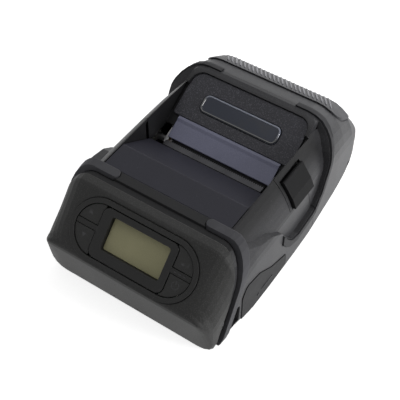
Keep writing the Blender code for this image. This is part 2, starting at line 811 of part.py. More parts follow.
def make_front_case(finish):
    """Front housing: side walls, front halves of the pods and the lip behind the cap."""
    case = within(body_blank(), side_prism("front_region", seam_outline(True), -FAR, FAR))
    slabs = slab_walls(DECK_FRONT - WALL, POD_FRONT_WALL_END, POD_INNER_LOW)
    hollow = less(body_blank(-WALL, CHANNEL_HALF + POD_WALL / 2), slabs, eyelet_block(WALL))
    case = less(case, hollow, parting_block("cap_side", -FAR, GAP))
    recess = less(parting_block("recess", -OVERRUN, RECESS_WIDTH), envelope("recess_floor", -RECESS_DEPTH))
    channel = block("channel", (-CHANNEL_HALF, DECK_FRONT, POD_INNER_LOW - OVERRUN), (CHANNEL_HALF, FAR, FAR))
    case = less(case, recess, channel, bumper_seat_front(), trim_seat(), port_hole(), flap_seat())
    case = less(case, eyelet_block(0), button_hole())
    return keep(case, "front_case", finish)


def eyelet_block(grow):
    """Pocket for the hand strap in both front corners."""
    points = [(y * HALF_LENGTH, z * HEIGHT) for y, z in EYELET_SHARES]
    outline = fillet_outline(points, [EYELET_FILLET] * len(points), 2)
    return both_sides("eyelet", grown_outline(outline, grow), EYELET_INNER - grow, FAR)


def make_strap_bar(side, finish):
    """Upright pin across the strap pocket."""
    outline = fillet_outline([(y * HALF_LENGTH, z * HEIGHT) for y, z in EYELET_SHARES],
                             [EYELET_FILLET] * len(EYELET_SHARES), 2)
    low, high = span(outline, STRAP_BAR_Y)
    bar = prism("bar", circle_outline(STRAP_BAR_RADIUS, (STRAP_BAR_X * side, STRAP_BAR_Y), 12),
                low + STRAP_BAR_GAP, high - STRAP_BAR_GAP)
    return keep(bar, "strap_bar_right" if side > 0 else "strap_bar_left", finish)


def make_rear_cover(finish):
    """Clamshell: rear halves of the pods, the hood, the sides and the web under the cover plate."""
    cover = within(body_blank(), side_prism("rear_region", seam_outline(False), -FAR, FAR))
    slabs = slab_walls(SEAM_TOP_Y, REAR_SLAB_END, SEAM_STEP_Z, FACE_STEP)
    web = [(-WEB_REACH, -PLATE_SEAT - WALL), (PLATE_LENGTH + WALL, -PLATE_SEAT - WALL),
           (PLATE_LENGTH + WALL, FAR), (-WEB_REACH, FAR)]
    web = prism("web", web, -CHANNEL_HALF - POD_WALL, CHANNEL_HALF + POD_WALL, PLATE @ ACROSS)
    hollow = less(body_blank(-WALL, CHANNEL_HALF + POD_WALL / 2), slabs, web)
    cover = less(cover, hollow)
    pocket = prism("pocket", plate_outline(GAP), -PLATE_SEAT, FAR, PLATE)
    cover = less(cover, pocket, front_space(), window_hole(), bumper_seat_rear(), button_hole(), grip_seat())
    for side in (-1, 1):
        cover = join(cover, hinge_eye(side))
    notch = [block("notch", (min(a, b), -FAR, -FAR), (max(a, b), LUG_NOTCH_Y, HINGE_Z + HINGE_EYE_RADIUS + GAP * 2))
             for a, b in lug_spans()]
    pin = rod("pin_hole", HINGE_PIN_RADIUS + RUNNING_GAP, -FAR, FAR, HINGE_Y, HINGE_Z)
    cover = less(cover, pin, *notch)
    return keep(cover, "rear_cover", finish)


def front_space():
    """Room between the pods in front of the rear cover's web and over the plate's seat."""
    end = min(v for x, v in plate_outline(GAP)) + SIDE_SPACE
    floor = -PLATE_SEAT - FACE_STEP
    reach = (WEB_CUT_Y - (PLATE @ Vector((0, 0, floor))).y) / math.cos(PLATE_TILT)
    corners = [PLATE @ Vector(point) for point in ((0, reach, floor), (0, end, floor), (0, end, FAR))]
    outline = [(-FAR, -FAR), (WEB_CUT_Y, -FAR)] + [(point.y, point.z) for point in corners]
    return side_prism("front_space", outline + [(-FAR, corners[-1].z)], -CHANNEL_HALF, CHANNEL_HALF)


def lug_spans():
    """Spaces along X that the tray's lugs need, on both sides."""
    inner = HINGE_EYE_PLACE - HINGE_EYE_LENGTH - GAP
    outer = HINGE_EYE_PLACE + GAP
    return [(inner, outer), (-inner, -outer)]


def hinge_eye(side):
    """Eye of the rear cover round the hinge pin, with its web to the rear wall."""
    inner = (HINGE_EYE_PLACE + GAP * 2) * side
    outer = (HINGE_EYE_PLACE + GAP * 2 + HINGE_EYE_LENGTH) * side
    low, high = min(inner, outer), max(inner, outer)
    eye = rod("eye", HINGE_EYE_RADIUS, low, high, HINGE_Y, HINGE_Z)
    wall = span_at_height(HINGE_Z) - WALL / 2
    bridge = block("bridge", (low + FACE_STEP, HINGE_Y, HINGE_Z - HINGE_EYE_RADIUS * LUG_FILL_SHARE),
                   (high - FACE_STEP, wall, HINGE_Z + HINGE_EYE_RADIUS * LUG_FILL_SHARE))
    return join(eye, bridge)


def span_at_height(height):
    """Rearmost place of the side outline at a height."""
    flipped = [(z, y) for y, z in SIDE_OUTLINE]
    return span(flipped, height)[1]


def make_hinge_pin(finish):
    """Steel pin through the lugs and the eyes."""
    reach = HINGE_EYE_PLACE + GAP * 2 + HINGE_EYE_LENGTH
    return keep(rod("pin", HINGE_PIN_RADIUS, -reach, reach, HINGE_Y, HINGE_Z, 20), "hinge_pin", finish)


def skin(name, cutter, proud, seat):
    """Layer of the body's surface inside a cutter, from a seat depth to a proud height."""
    layer = less(within(envelope(name, proud), cutter), envelope("under", -seat))
    return layer


def bumper_zone(grow, side):
    """Slice behind the recess with one round end on the deck."""
    end = FRONT_BUMPER_END
    start = RECESS_WIDTH + GAP / 2
    outline = [(end - grow, start - grow), (FAR, start - grow), (FAR, start + BUMPER_WIDTH + grow),
               (end - grow, start + BUMPER_WIDTH + grow)]
    radius = BUMPER_WIDTH / 2
    outline = fillet_outline(outline, [radius, 0, 0, radius], 4)
    if side < 0:
        outline = [(-x, y) for x, y in outline]
    zone = prism("bumper_zone", outline, -FAR, FAR, PARTING)
    return within(zone, block("above_rim", (-FAR, -FAR, TRAY_RIM + GAP / 2 + GAP - grow), (FAR, FAR, FAR)))


def bumper_seat_front():
    """Groove for both front bumpers."""
    zone = join(bumper_zone(GAP, 1), bumper_zone(GAP, -1))
    return less(zone, envelope("seat_floor", -BUMPER_SEAT - GAP))


def make_front_bumper(side, finish):
    """Rubber bumper that runs from the deck down the front corner."""
    name = "front_bumper_right" if side > 0 else "front_bumper_left"
    return keep(skin("bumper", bumper_zone(0, side), BUMPER_PROUD, BUMPER_SEAT), name, finish)


def trim_zone(grow, side, rear):
    """Band along the scoop's edge on one side, in the rear cover or in the front case."""
    outer = grown_outline(SCOOP_OUTLINE, REAR_BUMPER_WIDTH + grow)
    inner = grown_outline(SCOOP_OUTLINE, TRIM_RIM - grow)
    low, high = (REAR_BUMPER_END - grow, FAR) if side > 0 else (-FAR, -REAR_BUMPER_END + grow)
    band = less(side_prism("band", outer, low, high), side_prism("band_inner", inner, low - FAR, high + FAR))
    seam = side_prism("seam", grown_outline(seam_outline(not rear), grow), -FAR, FAR)
    band = within(band, seam)
    if not rear:
        band = within(band, block("below", (-FAR, TRIM_FRONT_Y - grow, -FAR), (FAR, FAR, SEAM_STEP_Z - GAP)))
    return band


def bumper_seat_rear():
    """Groove for both rear bumpers."""
    zone = join(trim_zone(GAP, 1, True), trim_zone(GAP, -1, True))
    return less(zone, envelope("seat_floor", -BUMPER_SEAT - GAP))


def trim_seat():
    """Groove for both side trims of the front case."""
    zone = join(trim_zone(GAP, 1, False), trim_zone(GAP, -1, False))
    return less(zone, envelope("seat_floor", -BUMPER_SEAT - GAP))


def make_rear_bumper(side, finish):
    """Rubber strip over the hood and down the scoop's edge."""
    name = "rear_bumper_right" if side > 0 else "rear_bumper_left"
    return keep(skin("bumper", trim_zone(0, side, True), BUMPER_PROUD, BUMPER_SEAT), name, finish)


def make_side_trim(side, finish):
    """Rubber strip along the scoop's lower edge on the front case."""
    name = "side_trim_right" if side > 0 else "side_trim_left"
    return keep(skin("trim", trim_zone(0, side, False), BUMPER_PROUD, BUMPER_SEAT), name, finish)


def port_hole():
    """Openings in the right wall behind the flap."""
    holes = [block("port", (PORT_INNER, first, low), (FAR, last, high)) for first, last, low, high in PORT_HOLES]
    return join(*holes)


def flap_zone(grow):
    """Side outline of the port flap."""
    points = [(y * HALF_LENGTH, z * HEIGHT) for y, z in FLAP_SHARES]
    outline = fillet_outline(points, [r * HEIGHT for r in FLAP_FILLET_SHARES], 3)
    return side_prism("flap_zone", grown_outline(outline, grow), PORT_INNER, FAR)


def flap_seat():
    """Shallow seat for the port flap."""
    return less(flap_zone(GAP), envelope("flap_floor", -FLAP_SEAT - GAP))


def flap_pivot():
    """Lower outer edge of the flap, about which it folds down."""
    middle = (FLAP_SHARES[0][0] + FLAP_SHARES[-1][0]) / 2 * HALF_LENGTH
    return (HALF_WIDTH + FLAP_PROUD, middle, FLAP_SHARES[0][1] * HEIGHT)


def make_port_cover(finish):
    """Rubber flap over the sockets."""
    return keep(skin("flap", flap_zone(0), FLAP_PROUD, FLAP_SEAT), "port_cover", finish, flap_pivot())


def make_port_board(finish):
    """Upright board that carries the sockets."""
    first, last, low, high = PORT_BOARD_PLACE
    return keep(block("board", (PORT_BOARD_X, first, low), (PORT_BOARD_X + BOARD_THICK, last, high)),
                "port_board", finish)


def box_socket(name, size, place, finish):
    """Rectangular socket that faces right, open at its face."""
    start = PORT_BOARD_X + BOARD_THICK + GAP
    depth, width, height = size
    y, z = place
    shell = block(name, (start, y - width / 2, z - height / 2), (start + depth, y + width / 2, z + height / 2))
    hollow = block("hollow", (start + depth - SOCKET_DEPTH, y - width / 2 + SOCKET_WALL, z - height / 2 + SOCKET_WALL),
                   (FAR, y + width / 2 - SOCKET_WALL, z + height / 2 - SOCKET_WALL))
    return keep(less(shell, hollow), name, finish)


def make_dc_jack(finish):
    """Round power inlet with its centre pin."""
    start = PORT_BOARD_X + BOARD_THICK + GAP
    y, z = JACK_PLACE
    jack = rod("jack", JACK_RADIUS, start, start + JACK_LENGTH, y, z)
    bore = rod("bore", JACK_BORE, start + JACK_LENGTH - SOCKET_DEPTH, FAR, y, z, 16)
    pin = rod("pin", JACK_PIN, start + SOCKET_WALL, start + JACK_LENGTH - SOCKET_WALL, y, z, 8)
    return keep(join(less(jack, bore), pin), "dc_jack", finish)


def stadium(length, height, grow=0.0):
    """Outline with two round ends, centred on the frame."""
    return round_rectangle(length + grow * 2, height + grow * 2, height / 2 + grow, (0, 0), 12)


def ring_inner(grow=0.0):
    """Inner edge of the keypad ring."""
    return stadium(RING_LENGTH - RING_BAND * 2, RING_HEIGHT - RING_BAND * 2, grow)


def make_front_fascia(finish):
    """Front cap with the sloping face; it carries the ring, the keys and the display."""
    hollow = less(envelope("cap_hollow", -WALL))
    cap = less(envelope("cap"), hollow, parting_block("case_side", 0, FAR))
    pocket = prism("ring_pocket", stadium(RING_LENGTH, RING_HEIGHT, GAP), -RING_SEAT - GAP, FAR, FACE)
    through = prism("ring_through", ring_inner(RING_LEDGE), -FAR / 4, FAR, FACE)
    through = within(through, prism("upper", stadium(RING_LENGTH, RING_HEIGHT, GAP), -WALL * 3, FAR, FACE))
    door_room = block("door_room", (-DOOR_HALF - DOOR_GAP, -FAR, -FAR), (DOOR_HALF + DOOR_GAP, 0, TRAY_FLOOR + GAP))
    cap = less(cap, pocket, through, door_room)
    front = span_at_depth(VENT_Z)
    for place in VENT_PLACES:
        vent = prism("vent", circle_outline(VENT_RADIUS, (place, VENT_Z), 10), front - OVERRUN,
                     front + VENT_DEPTH, UPRIGHT)
        cap = less(cap, vent)
    return keep(cap, "front_fascia", finish)


def span_at_depth(height):
    """Foremost place of the side outline at a height."""
    flipped = [(z, y) for y, z in SIDE_OUTLINE]
    return span(flipped, height)[0]


def make_keypad_ring(finish):
    """Oval ring round the keys and the display."""
    ring = prism("ring", stadium(RING_LENGTH, RING_HEIGHT), -RING_SEAT, RING_PROUD, FACE)
    return keep(less(ring, prism("inner", ring_inner(), -FAR, FAR, FACE)), "keypad_ring", finish)


def bezel_outline(grow=0.0):
    """Outer edge of the display frame."""
    width, height = BEZEL_RIGHT - BEZEL_LEFT, BEZEL_TOP - BEZEL_LOW
    centre = ((BEZEL_RIGHT + BEZEL_LEFT) / 2, (BEZEL_TOP + BEZEL_LOW) / 2)
    return round_rectangle(width + grow * 2, height + grow * 2, BEZEL_RADIUS + grow, centre)


def bezel_solid(name, grow, low, high):
    """Display frame with the bars that part the keys."""
    frame = prism(name, bezel_outline(grow), low, high, FACE)
    bar = round_rectangle(RING_LENGTH, BAR_WIDTH + grow * 2, 0, (0, BAR_V))
    bar = prism("bar", bar, low + BAR_STEP, high - BAR_STEP, FACE)
    return join(frame, bar)


def make_display_bezel(finish):
    """Frame of the display with its two key bars, inside the ring."""
    bezel = bezel_solid("bezel", 0, -BEZEL_DEEP, BEZEL_PROUD)
    bezel = within(bezel, prism("limit", ring_inner(-GAP), -FAR, FAR, FACE))
    view = round_rectangle(LCD_WIDTH, LCD_HEIGHT, LCD_RADIUS, (LCD_X, LCD_V), 3)
    return keep(less(bezel, prism("view", view, -FAR, FAR, FACE)), "display_bezel", finish)


def make_lcd_window(finish):
    """Clear window set back in the display frame."""
    view = round_rectangle(LCD_WIDTH - GAP * 2, LCD_HEIGHT - GAP * 2, LCD_RADIUS - GAP, (LCD_X, LCD_V), 3)
    return keep(prism("window", view, -WINDOW_DEEP - WINDOW_THICK, -WINDOW_DEEP, FACE), "lcd_window", finish)


def make_lcd_panel(finish):
    """Display panel under the window."""
    top = -BEZEL_DEEP - GAP
    return keep(prism("panel", bezel_outline(), top - PANEL_THICK, top, FACE), "lcd_panel", finish)


def make_key_board(finish):
    """Board with the key switches and the display's contacts."""
    outline = stadium(KEY_BOARD_LENGTH, KEY_BOARD_HEIGHT)
    return keep(prism("key_board", outline, KEY_BOARD_TOP - KEY_BOARD_THICK, KEY_BOARD_TOP, FACE),
                "key_board", finish)


def make_key(name, side, upper, finish):
    """Key between the ring, the display frame and a bar, with its stem."""
    low = KEY_PROUD - KEY_THICK
    key = prism(name, ring_inner(-KEY_GAP), low, KEY_PROUD, FACE)
    near = BAR_V + upper * GAP
    end = side * KEY_INNER_X
    quarter = [(end, near), (side * FAR, near), (side * FAR, upper * FAR), (end, upper * FAR)]
    key = within(key, prism("quarter", quarter, -FAR, FAR, FACE))
    key = less(key, bezel_solid("frame", KEY_GAP, -FAR, FAR))
    place = (side * KEY_STEM_X, upper * KEY_STEM_V + BAR_V)
    stem = prism("stem", circle_outline(STEM_RADIUS, place, 12), KEY_BOARD_TOP + KEY_TRAVEL + GAP,
                 low + GAP, FACE)
    pivot = FACE @ Vector((place[0], place[1], 0))
    return keep(join(key, stem), name, finish, pivot)


def make_deck_cover(finish):
    """Bent cover between the pods: the flat deck and the slope down to the paper slot."""
    top = [(DECK_FRONT + GAP, DECK_TOP), (DECK_CREASE, DECK_TOP), (VALLEY_END - GAP, VALLEY_LOW + DECK_LIFT)]
    low = [(VALLEY_END - GAP, VALLEY_LOW + DECK_LIFT - DECK_THICK), (DECK_CREASE - DECK_THICK / 2, DECK_TOP - DECK_THICK),
           (DECK_FRONT + GAP, DECK_TOP - DECK_THICK)]
    outline = fillet_outline(top + low, [DECK_EDGE, DECK_ROUND, 0, 0, DECK_ROUND, 0], 4)
    half = CHANNEL_HALF - DECK_SIDE_GAP
    return keep(side_prism("deck", outline, -half, half), "deck_cover", finish)


def make_tear_bar(finish):
    """Steel bar with fine teeth at the paper slot."""
    count = int(TEAR_HALF * 2 / TEAR_PITCH)
    front = HEAD_FACE - SINK_THICK
    edge = HEAD_FACE - HEAD_THICK
    points = [(-TEAR_HALF, front), (TEAR_HALF, front), (TEAR_HALF, edge)]
    for index in range(count):
        x = TEAR_HALF - TEAR_PITCH * index - TEAR_PITCH / 2
        points.append((x, edge + TEAR_TOOTH))
        points.append((x - TEAR_PITCH / 2, edge))
    low = SINK_TOP + GAP
    return keep(prism("tear", points, low, low + TEAR_THICK), "tear_bar", finish)


def head_back():
    """Rear face of the heat sink, towards the front of the printer."""
    return HEAD_FACE - HEAD_THICK - GAP - SINK_THICK


def make_print_head(finish):
    """Thermal print head plate against the platen."""
    return keep(block("head", (-HEAD_HALF, HEAD_FACE - HEAD_THICK, HEAD_LOW), (HEAD_HALF, HEAD_FACE, HEAD_HIGH)),
                "print_head", finish)


def make_heat_sink(finish):
    """Aluminium block that backs the print head."""
    low = (-HEAD_HALF, head_back(), HEAD_LOW)
    return keep(block("sink", low, (HEAD_HALF, head_back() + SINK_THICK, SINK_TOP)), "head_heat_sink", finish)


def coil(name, start, radius, length, turns, wire):
    """Open coil spring from a start point along a direction given as a matrix frame."""
    count = turns * SPRING_STEPS
    points = []
    for index in range(count + 1):
        angle = 2 * math.pi * index / SPRING_STEPS
        points.append(start @ Vector((radius * math.cos(angle), radius * math.sin(angle), length * index / count)))
    curve = bpy.data.curves.new(name, 'CURVE')
    curve.dimensions = '3D'
    curve.bevel_depth = wire
    curve.bevel_resolution = 0
    curve.use_fill_caps = True
    line = curve.splines.new('POLY')
    line.points.add(len(points) - 1)
    for item, point in zip(line.points, points):
        item.co = (*point, 1)
    item = bpy.data.objects.new(name, curve)
    bpy.context.scene.collection.objects.link(item)
    graph = bpy.context.evaluated_depsgraph_get()
    mesh = bpy.data.meshes.new_from_object(item.evaluated_get(graph))
    bpy.data.objects.remove(item, do_unlink=True)
    bm = bmesh.new()
    bm.from_mesh(mesh)
    bmesh.ops.remove_doubles(bm, verts=bm.verts, dist=wire / 100)
    return object_from(bm, name)


def make_head_spring(side, finish):
    """Spring that presses the head to the platen."""
    frame = Matrix.Translation((side * SPRING_PLACE, head_back() - GAP - SPRING_WIRE, SPRING_Z))
    frame = frame @ Matrix.Rotation(math.pi / 2, 4, 'X')
    name = "head_spring_right" if side > 0 else "head_spring_left"
    return keep(coil(name, frame, SPRING_RADIUS, SPRING_LENGTH, SPRING_TURNS, SPRING_WIRE), name, finish)


def frame_face():
    """Face of the mechanism frame that the head springs push on."""
    return head_back() - GAP * 2 - SPRING_WIRE * 2 - SPRING_LENGTH


def gear_outline(teeth, y, z, phase):
    """Spur gear outline with one tooth centred on the phase angle."""
    pitch = 2 * math.pi / teeth
    root = MODULE * (teeth / 2 - ROOT_MODULES)
    tip = MODULE * (teeth / 2 + TIP_MODULES)
    points = []
    for index in range(teeth):
        middle = phase + pitch * index
        for radius, share in ((root, -TOOTH_FOOT_SHARE), (tip, -TOOTH_TIP_SHARE),
                              (tip, TOOTH_TIP_SHARE), (root, TOOTH_FOOT_SHARE)):
            angle = middle + pitch * share
            points.append((y + radius * math.cos(angle), z + radius * math.sin(angle)))
    return points


def make_gear(name, teeth, y, z, phase, bore, finish):
    """Spur gear with its bore."""
    gear = side_prism(name, gear_outline(teeth, y, z, phase), GEAR_OUTER, GEAR_INNER)
    gear = less(gear, rod("bore", bore, -FAR, FAR, y, z, 16))
    return keep(gear, name, finish, (0, y, z))


def gear_phases():
    """Phase angles that put the three gears in mesh at rest."""
    platen = IDLER_TURN
    idler = IDLER_TURN + math.pi - math.pi / IDLER_TEETH
    idler_pitch = 2 * math.pi / IDLER_TEETH
    passed = ((MOTOR_TURN - idler) / idler_pitch) % 1
    pinion = MOTOR_TURN + math.pi - (0.5 - passed) * 2 * math.pi / PINION_TEETH
    return platen, idler, pinion


def make_mechanism_frame(finish):
    """Steel frame on the tray: the wall behind the head springs and the plate for the gears."""
    face = frame_face()
    wall = block("wall", (-FRAME_HALF, face - FRAME_THICK, FRAME_LOW), (FRAME_HALF, face, FRAME_HIGH))
    foot = block("foot", (GEAR_PLATE_X - GEAR_PLATE_THICK, face - FRAME_FOOT, FRAME_LOW),
                 (FRAME_HALF, face, FRAME_LOW + FRAME_THICK))
    reach = PLATE_MARGIN
    outline = [(MOTOR_Y - reach, FRAME_LOW), (IDLER_Y + reach / 2, FRAME_LOW),
               (IDLER_Y + reach / 2, IDLER_Z + reach / 2), (IDLER_Y - reach / 2, IDLER_Z + reach / 2),
               (MOTOR_Y - reach, MOTOR_Z + reach / 2)]
    plate = side_prism("plate", outline, GEAR_PLATE_X - GEAR_PLATE_THICK, GEAR_PLATE_X)
    frame = join(wall, foot, plate)
    shaft = rod("shaft_hole", MOTOR_SHAFT + GAP, -FAR, GEAR_PLATE_X + OVERRUN, MOTOR_Y, MOTOR_Z, 16)
    pin = rod("pin_hole", IDLER_PIN + GAP, -FAR, GEAR_PLATE_X + OVERRUN, IDLER_Y, IDLER_Z, 16)
    return keep(less(frame, shaft, pin), "mechanism_frame", finish)


def make_motor(finish):
    """Stepper motor behind the gear plate."""
    motor = rod("motor", MOTOR_RADIUS, GEAR_PLATE_X + GAP, MOTOR_INNER, MOTOR_Y, MOTOR_Z, 28)
    return keep(motor, "stepper_motor", finish)


def make_pinion(phase, finish):
    """Motor pinion with the end of the motor's shaft."""
    gear = side_prism("pinion", gear_outline(PINION_TEETH, MOTOR_Y, MOTOR_Z, phase), GEAR_OUTER, GEAR_INNER)
    shaft = rod("shaft", MOTOR_SHAFT, GEAR_OUTER - GAP, GEAR_PLATE_X - GAP / 2, MOTOR_Y, MOTOR_Z, 12)
    return keep(join(gear, shaft), "motor_pinion", finish, (0, MOTOR_Y, MOTOR_Z))


def make_idler_pin(finish):
    """Fixed pin of the idler gear."""
    pin = rod("pin", IDLER_PIN, GEAR_OUTER - GAP * 2, GEAR_PLATE_X, IDLER_Y, IDLER_Z, 16)
    return keep(pin, "idler_pin", finish)


def make_platen(finish):
    """Rubber platen roller."""
    roller = rod("roller", PLATEN_RADIUS, -PLATEN_HALF, PLATEN_HALF, PLATEN_Y, PLATEN_Z, 32)
    roller = less(roller, rod("bore", SHAFT_RADIUS + GAP, -FAR, FAR, PLATEN_Y, PLATEN_Z, 16))
    return keep(roller, "platen_roller", finish, (0, PLATEN_Y, PLATEN_Z))


def make_platen_shaft(finish):
    """Steel shaft of the platen, long on the gear side."""
    shaft = rod("shaft", SHAFT_RADIUS, GEAR_OUTER - GAP, SHAFT_END, PLATEN_Y, PLATEN_Z, 20)
    return keep(shaft, "platen_shaft", finish, (0, PLATEN_Y, PLATEN_Z))


def make_bush(side, finish):
    """Bearing bush of the platen shaft in its cheek."""
    low = CHEEK_PLACE if side > 0 else -CHEEK_PLACE - CHEEK_THICK
    bush = rod("bush", BUSH_RADIUS, low, low + CHEEK_THICK, PLATEN_Y, PLATEN_Z, 20)
    bush = less(bush, rod("bore", SHAFT_RADIUS + RUNNING_GAP, -FAR, FAR, PLATEN_Y, PLATEN_Z, 20))
    return keep(bush, "bush_right" if side > 0 else "bush_left", finish)


def platen_in_plate():
    """Centre of the platen in the frame of the cover plate."""
    place = PLATE.inverted() @ Vector((0, PLATEN_Y, PLATEN_Z))
    return place.y, place.z


def make_platen_bracket(finish):
    """Bracket under the web: two cheeks for the bushes and the bar between them."""
    v, n = platen_in_plate()
    around = BUSH_RADIUS + CHEEK_MARGIN
    roof = -PLATE_SEAT - WALL - GAP
    outline = [(v - around, n - around / 2), (v - around, n + around / 2), (v - around / 2, n + around),
               (v + around / 2, n + around), (-WEB_REACH, roof), (CHEEK_REAR, roof), (CHEEK_REAR, roof - CHEEK_BAR),
               (v + around, n - around), (v - around / 2, n - around)]
    frame = PLATE @ ACROSS
    right = prism("cheek", outline, CHEEK_PLACE, CHEEK_PLACE + CHEEK_THICK, frame)
    left = prism("cheek", outline, -CHEEK_PLACE - CHEEK_THICK, -CHEEK_PLACE, frame)
    bar = [(CHEEK_REAR - CHEEK_BAR, roof - FRAME_THICK), (CHEEK_REAR, roof - FRAME_THICK), (CHEEK_REAR, roof),
           (CHEEK_REAR - CHEEK_BAR, roof)]
    bar = prism("bar", bar, -CHEEK_PLACE - CHEEK_THICK / 2, CHEEK_PLACE + CHEEK_THICK / 2, frame)
    bracket = join(right, bar, left)
    hole = rod("hole", BUSH_RADIUS + GAP, -FAR, FAR, PLATEN_Y, PLATEN_Z, 20)
    return keep(less(bracket, hole), "platen_bracket", finish)


def plate_outline(grow=0.0):
    """Outline of the cover plate in its own frame."""
    points = [(-PLATE_HALF, 0), (PLATE_HALF, 0), (PLATE_HALF, PLATE_LENGTH * PLATE_TAPER_SHARE),
              (PLATE_REAR_HALF, PLATE_LENGTH), (-PLATE_REAR_HALF, PLATE_LENGTH),
              (-PLATE_HALF, PLATE_LENGTH * PLATE_TAPER_SHARE)]
    radii = [PLATE_FRONT_CORNER, PLATE_FRONT_CORNER, 0, PLATE_CORNER, PLATE_CORNER, 0]
    return grown_outline(fillet_outline(points, radii), grow)


def window_outline(grow=0.0):
    """Outline of the cover window in the plate's frame."""
    centre = (0, PLATE_LENGTH * WINDOW_PLACE_SHARE)
    return round_rectangle(WINDOW_HALF * 2 + grow * 2, WINDOW_HEIGHT + grow * 2, WINDOW_RADIUS + grow, centre)


def window_hole():
    """Hole in the web for the cover window."""
    return prism("window_hole", window_outline(GAP), -FAR / 8, FAR, PLATE)


def make_cover_plate(finish):
    """Flat plate of the paper door with the window hole."""
    plate = prism("plate", plate_outline(), -PLATE_THICK, 0, PLATE)
    return keep(less(plate, prism("view", window_outline(GAP), -FAR, FAR, PLATE)), "cover_plate", finish)


def make_cover_window(finish):
    """Window through the plate and the web, a little proud of the plate."""
    window = prism("window", window_outline(), -PLATE_SEAT - WALL, WINDOW_PROUD, PLATE)
    return keep(window, "cover_window", finish)


def make_exit_bar(finish):
    """Strip below the plate, over the platen, where the paper comes out."""
    low = (EXIT_LOW_Y - PLATE_TILT_LOW_Y) / math.cos(PLATE_TILT)
    outline = [(low, -EXIT_THICK), (-GAP, -PLATE_THICK), (-GAP, 0), (-EXIT_LIP, EXIT_RISE),
               (-EXIT_LIP * 2, 0), (low, 0)]
    outline = fillet_outline(outline, [EXIT_EDGE, 0, EXIT_EDGE, EXIT_EDGE, EXIT_EDGE, EXIT_EDGE], 3)
    return keep(prism("exit", outline, -EXIT_HALF, EXIT_HALF, PLATE @ ACROSS), "exit_bar", finish)


def grip_zone(grow):
    """Plan outline of the rear grip."""
    width, depth = GRIP_HALF_X * 2 + grow * 2, GRIP_REAR_Y - GRIP_FRONT_Y + grow * 2
    outline = round_rectangle(width, depth, GRIP_CORNER + grow, (0, (GRIP_FRONT_Y + GRIP_REAR_Y) / 2))
    return prism("grip_zone", outline, GRIP_LOW_Z - grow, FAR)


def grip_seat():
    """Seat of the rear grip in the hood."""
    return less(grip_zone(GAP), envelope("grip_floor", -GRIP_SEAT_DEPTH - GAP))


def make_rear_grip(finish):
    """Ribbed grip over the rear edge of the hood."""
    return keep(skin("grip", grip_zone(0), GRIP_PROUD, GRIP_SEAT_DEPTH), "rear_grip", finish)


def button_outline(grow=0.0):
    """Section of the release button, seen from the front."""
    rounds = [BUTTON_FILLET, BUTTON_FILLET, BUTTON_FILLET, 0, 0, 0]
    return grown_outline(fillet_outline(BUTTON_POINTS, rounds, 3), grow)


def button_hole():
    """Opening for the release button along its travel, and for its spring."""
    middle = (BUTTON_FRONT + BUTTON_REAR) / 2
    hole = rod("spring_hole", BUTTON_SPRING_HOLE, BUTTON_SPRING_START, BUTTON_SPRING_END, middle, BUTTON_SPRING_Z)
    travel = Vector((-BUTTON_TRAVEL * math.cos(BUTTON_TILT), -BUTTON_TRAVEL * math.sin(BUTTON_TILT)))
    path = swept_outline(button_outline(BUTTON_GAP), travel)
    return join(prism("button_hole", path, BUTTON_FRONT - BUTTON_GAP, BUTTON_REAR + BUTTON_GAP, UPRIGHT), hole)


def make_release_button(finish):
    """Release button on the shoulder of the right pod."""
    return keep(prism("button", button_outline(), BUTTON_FRONT, BUTTON_REAR, UPRIGHT), "release_button", finish)


def make_button_spring(finish):
    """Return spring behind the release button."""
    middle = (BUTTON_FRONT + BUTTON_REAR) / 2
    frame = Matrix.Translation((BUTTON_SPRING_START, middle, BUTTON_SPRING_Z)) @ Matrix.Rotation(math.pi / 2, 4, 'Y')
    length = BUTTON_SPRING_END - BUTTON_SPRING_START
    return keep(coil("spring", frame, BUTTON_SPRING_RADIUS, length, 3, SPRING_WIRE), "button_spring", finish)


def make_latch_hook(finish):
    """Latch lever on its pin in the right pod."""
    arm = [(CATCH_Y + GAP, HOOK_LOW), (CATCH_Y + GAP + HOOK_ARM, HOOK_LOW), (HOOK_Y + HOOK_EYE, HOOK_Z),
           (HOOK_Y - HOOK_EYE, HOOK_Z)]
    hook = side_prism("hook", arm, HOOK_INNER, HOOK_INNER + HOOK_THICK)
    hook = join(hook, rod("eye", HOOK_EYE, HOOK_INNER, HOOK_INNER + HOOK_THICK, HOOK_Y, HOOK_Z, 20))
    hook = less(hook, rod("bore", HOOK_PIN_RADIUS + RUNNING_GAP, -FAR, FAR, HOOK_Y, HOOK_Z, 16))
    return keep(hook, "latch_hook", finish, (0, HOOK_Y, HOOK_Z))


def make_latch_pin(finish):
    """Pin of the latch lever."""
    start = CHANNEL_HALF + POD_WALL + GAP
    pin = rod("pin", HOOK_PIN_RADIUS, start, HOOK_INNER + HOOK_THICK + HOOK_THICK, HOOK_Y, HOOK_Z, 16)
    return keep(pin, "latch_pin", finish)


def make_latch_catch(finish):
    """Catch plate of the latch on the front case."""
    return keep(block("catch", (HOOK_INNER, CATCH_Y - CATCH_THICK, CATCH_LOW), (CATCH_OUTER, CATCH_Y, CATCH_HIGH)),
                "latch_catch", finish)


def make_battery(finish):
    """Battery pack over its door."""
    middle = (BATTERY_FRONT + BATTERY_REAR) / 2
    outline = round_rectangle(BATTERY_HALF * 2, BATTERY_REAR - BATTERY_FRONT, BATTERY_ROUND, (0, middle), 4)
    return keep(prism("battery", outline, TRAY_FLOOR + GAP, BATTERY_HIGH), "battery_pack", finish)


def post_places():
    """Plan places of the board's four posts."""
    return [(x, y) for x in (-POST_X, POST_X) for y in (POST_FRONT, POST_REAR)]


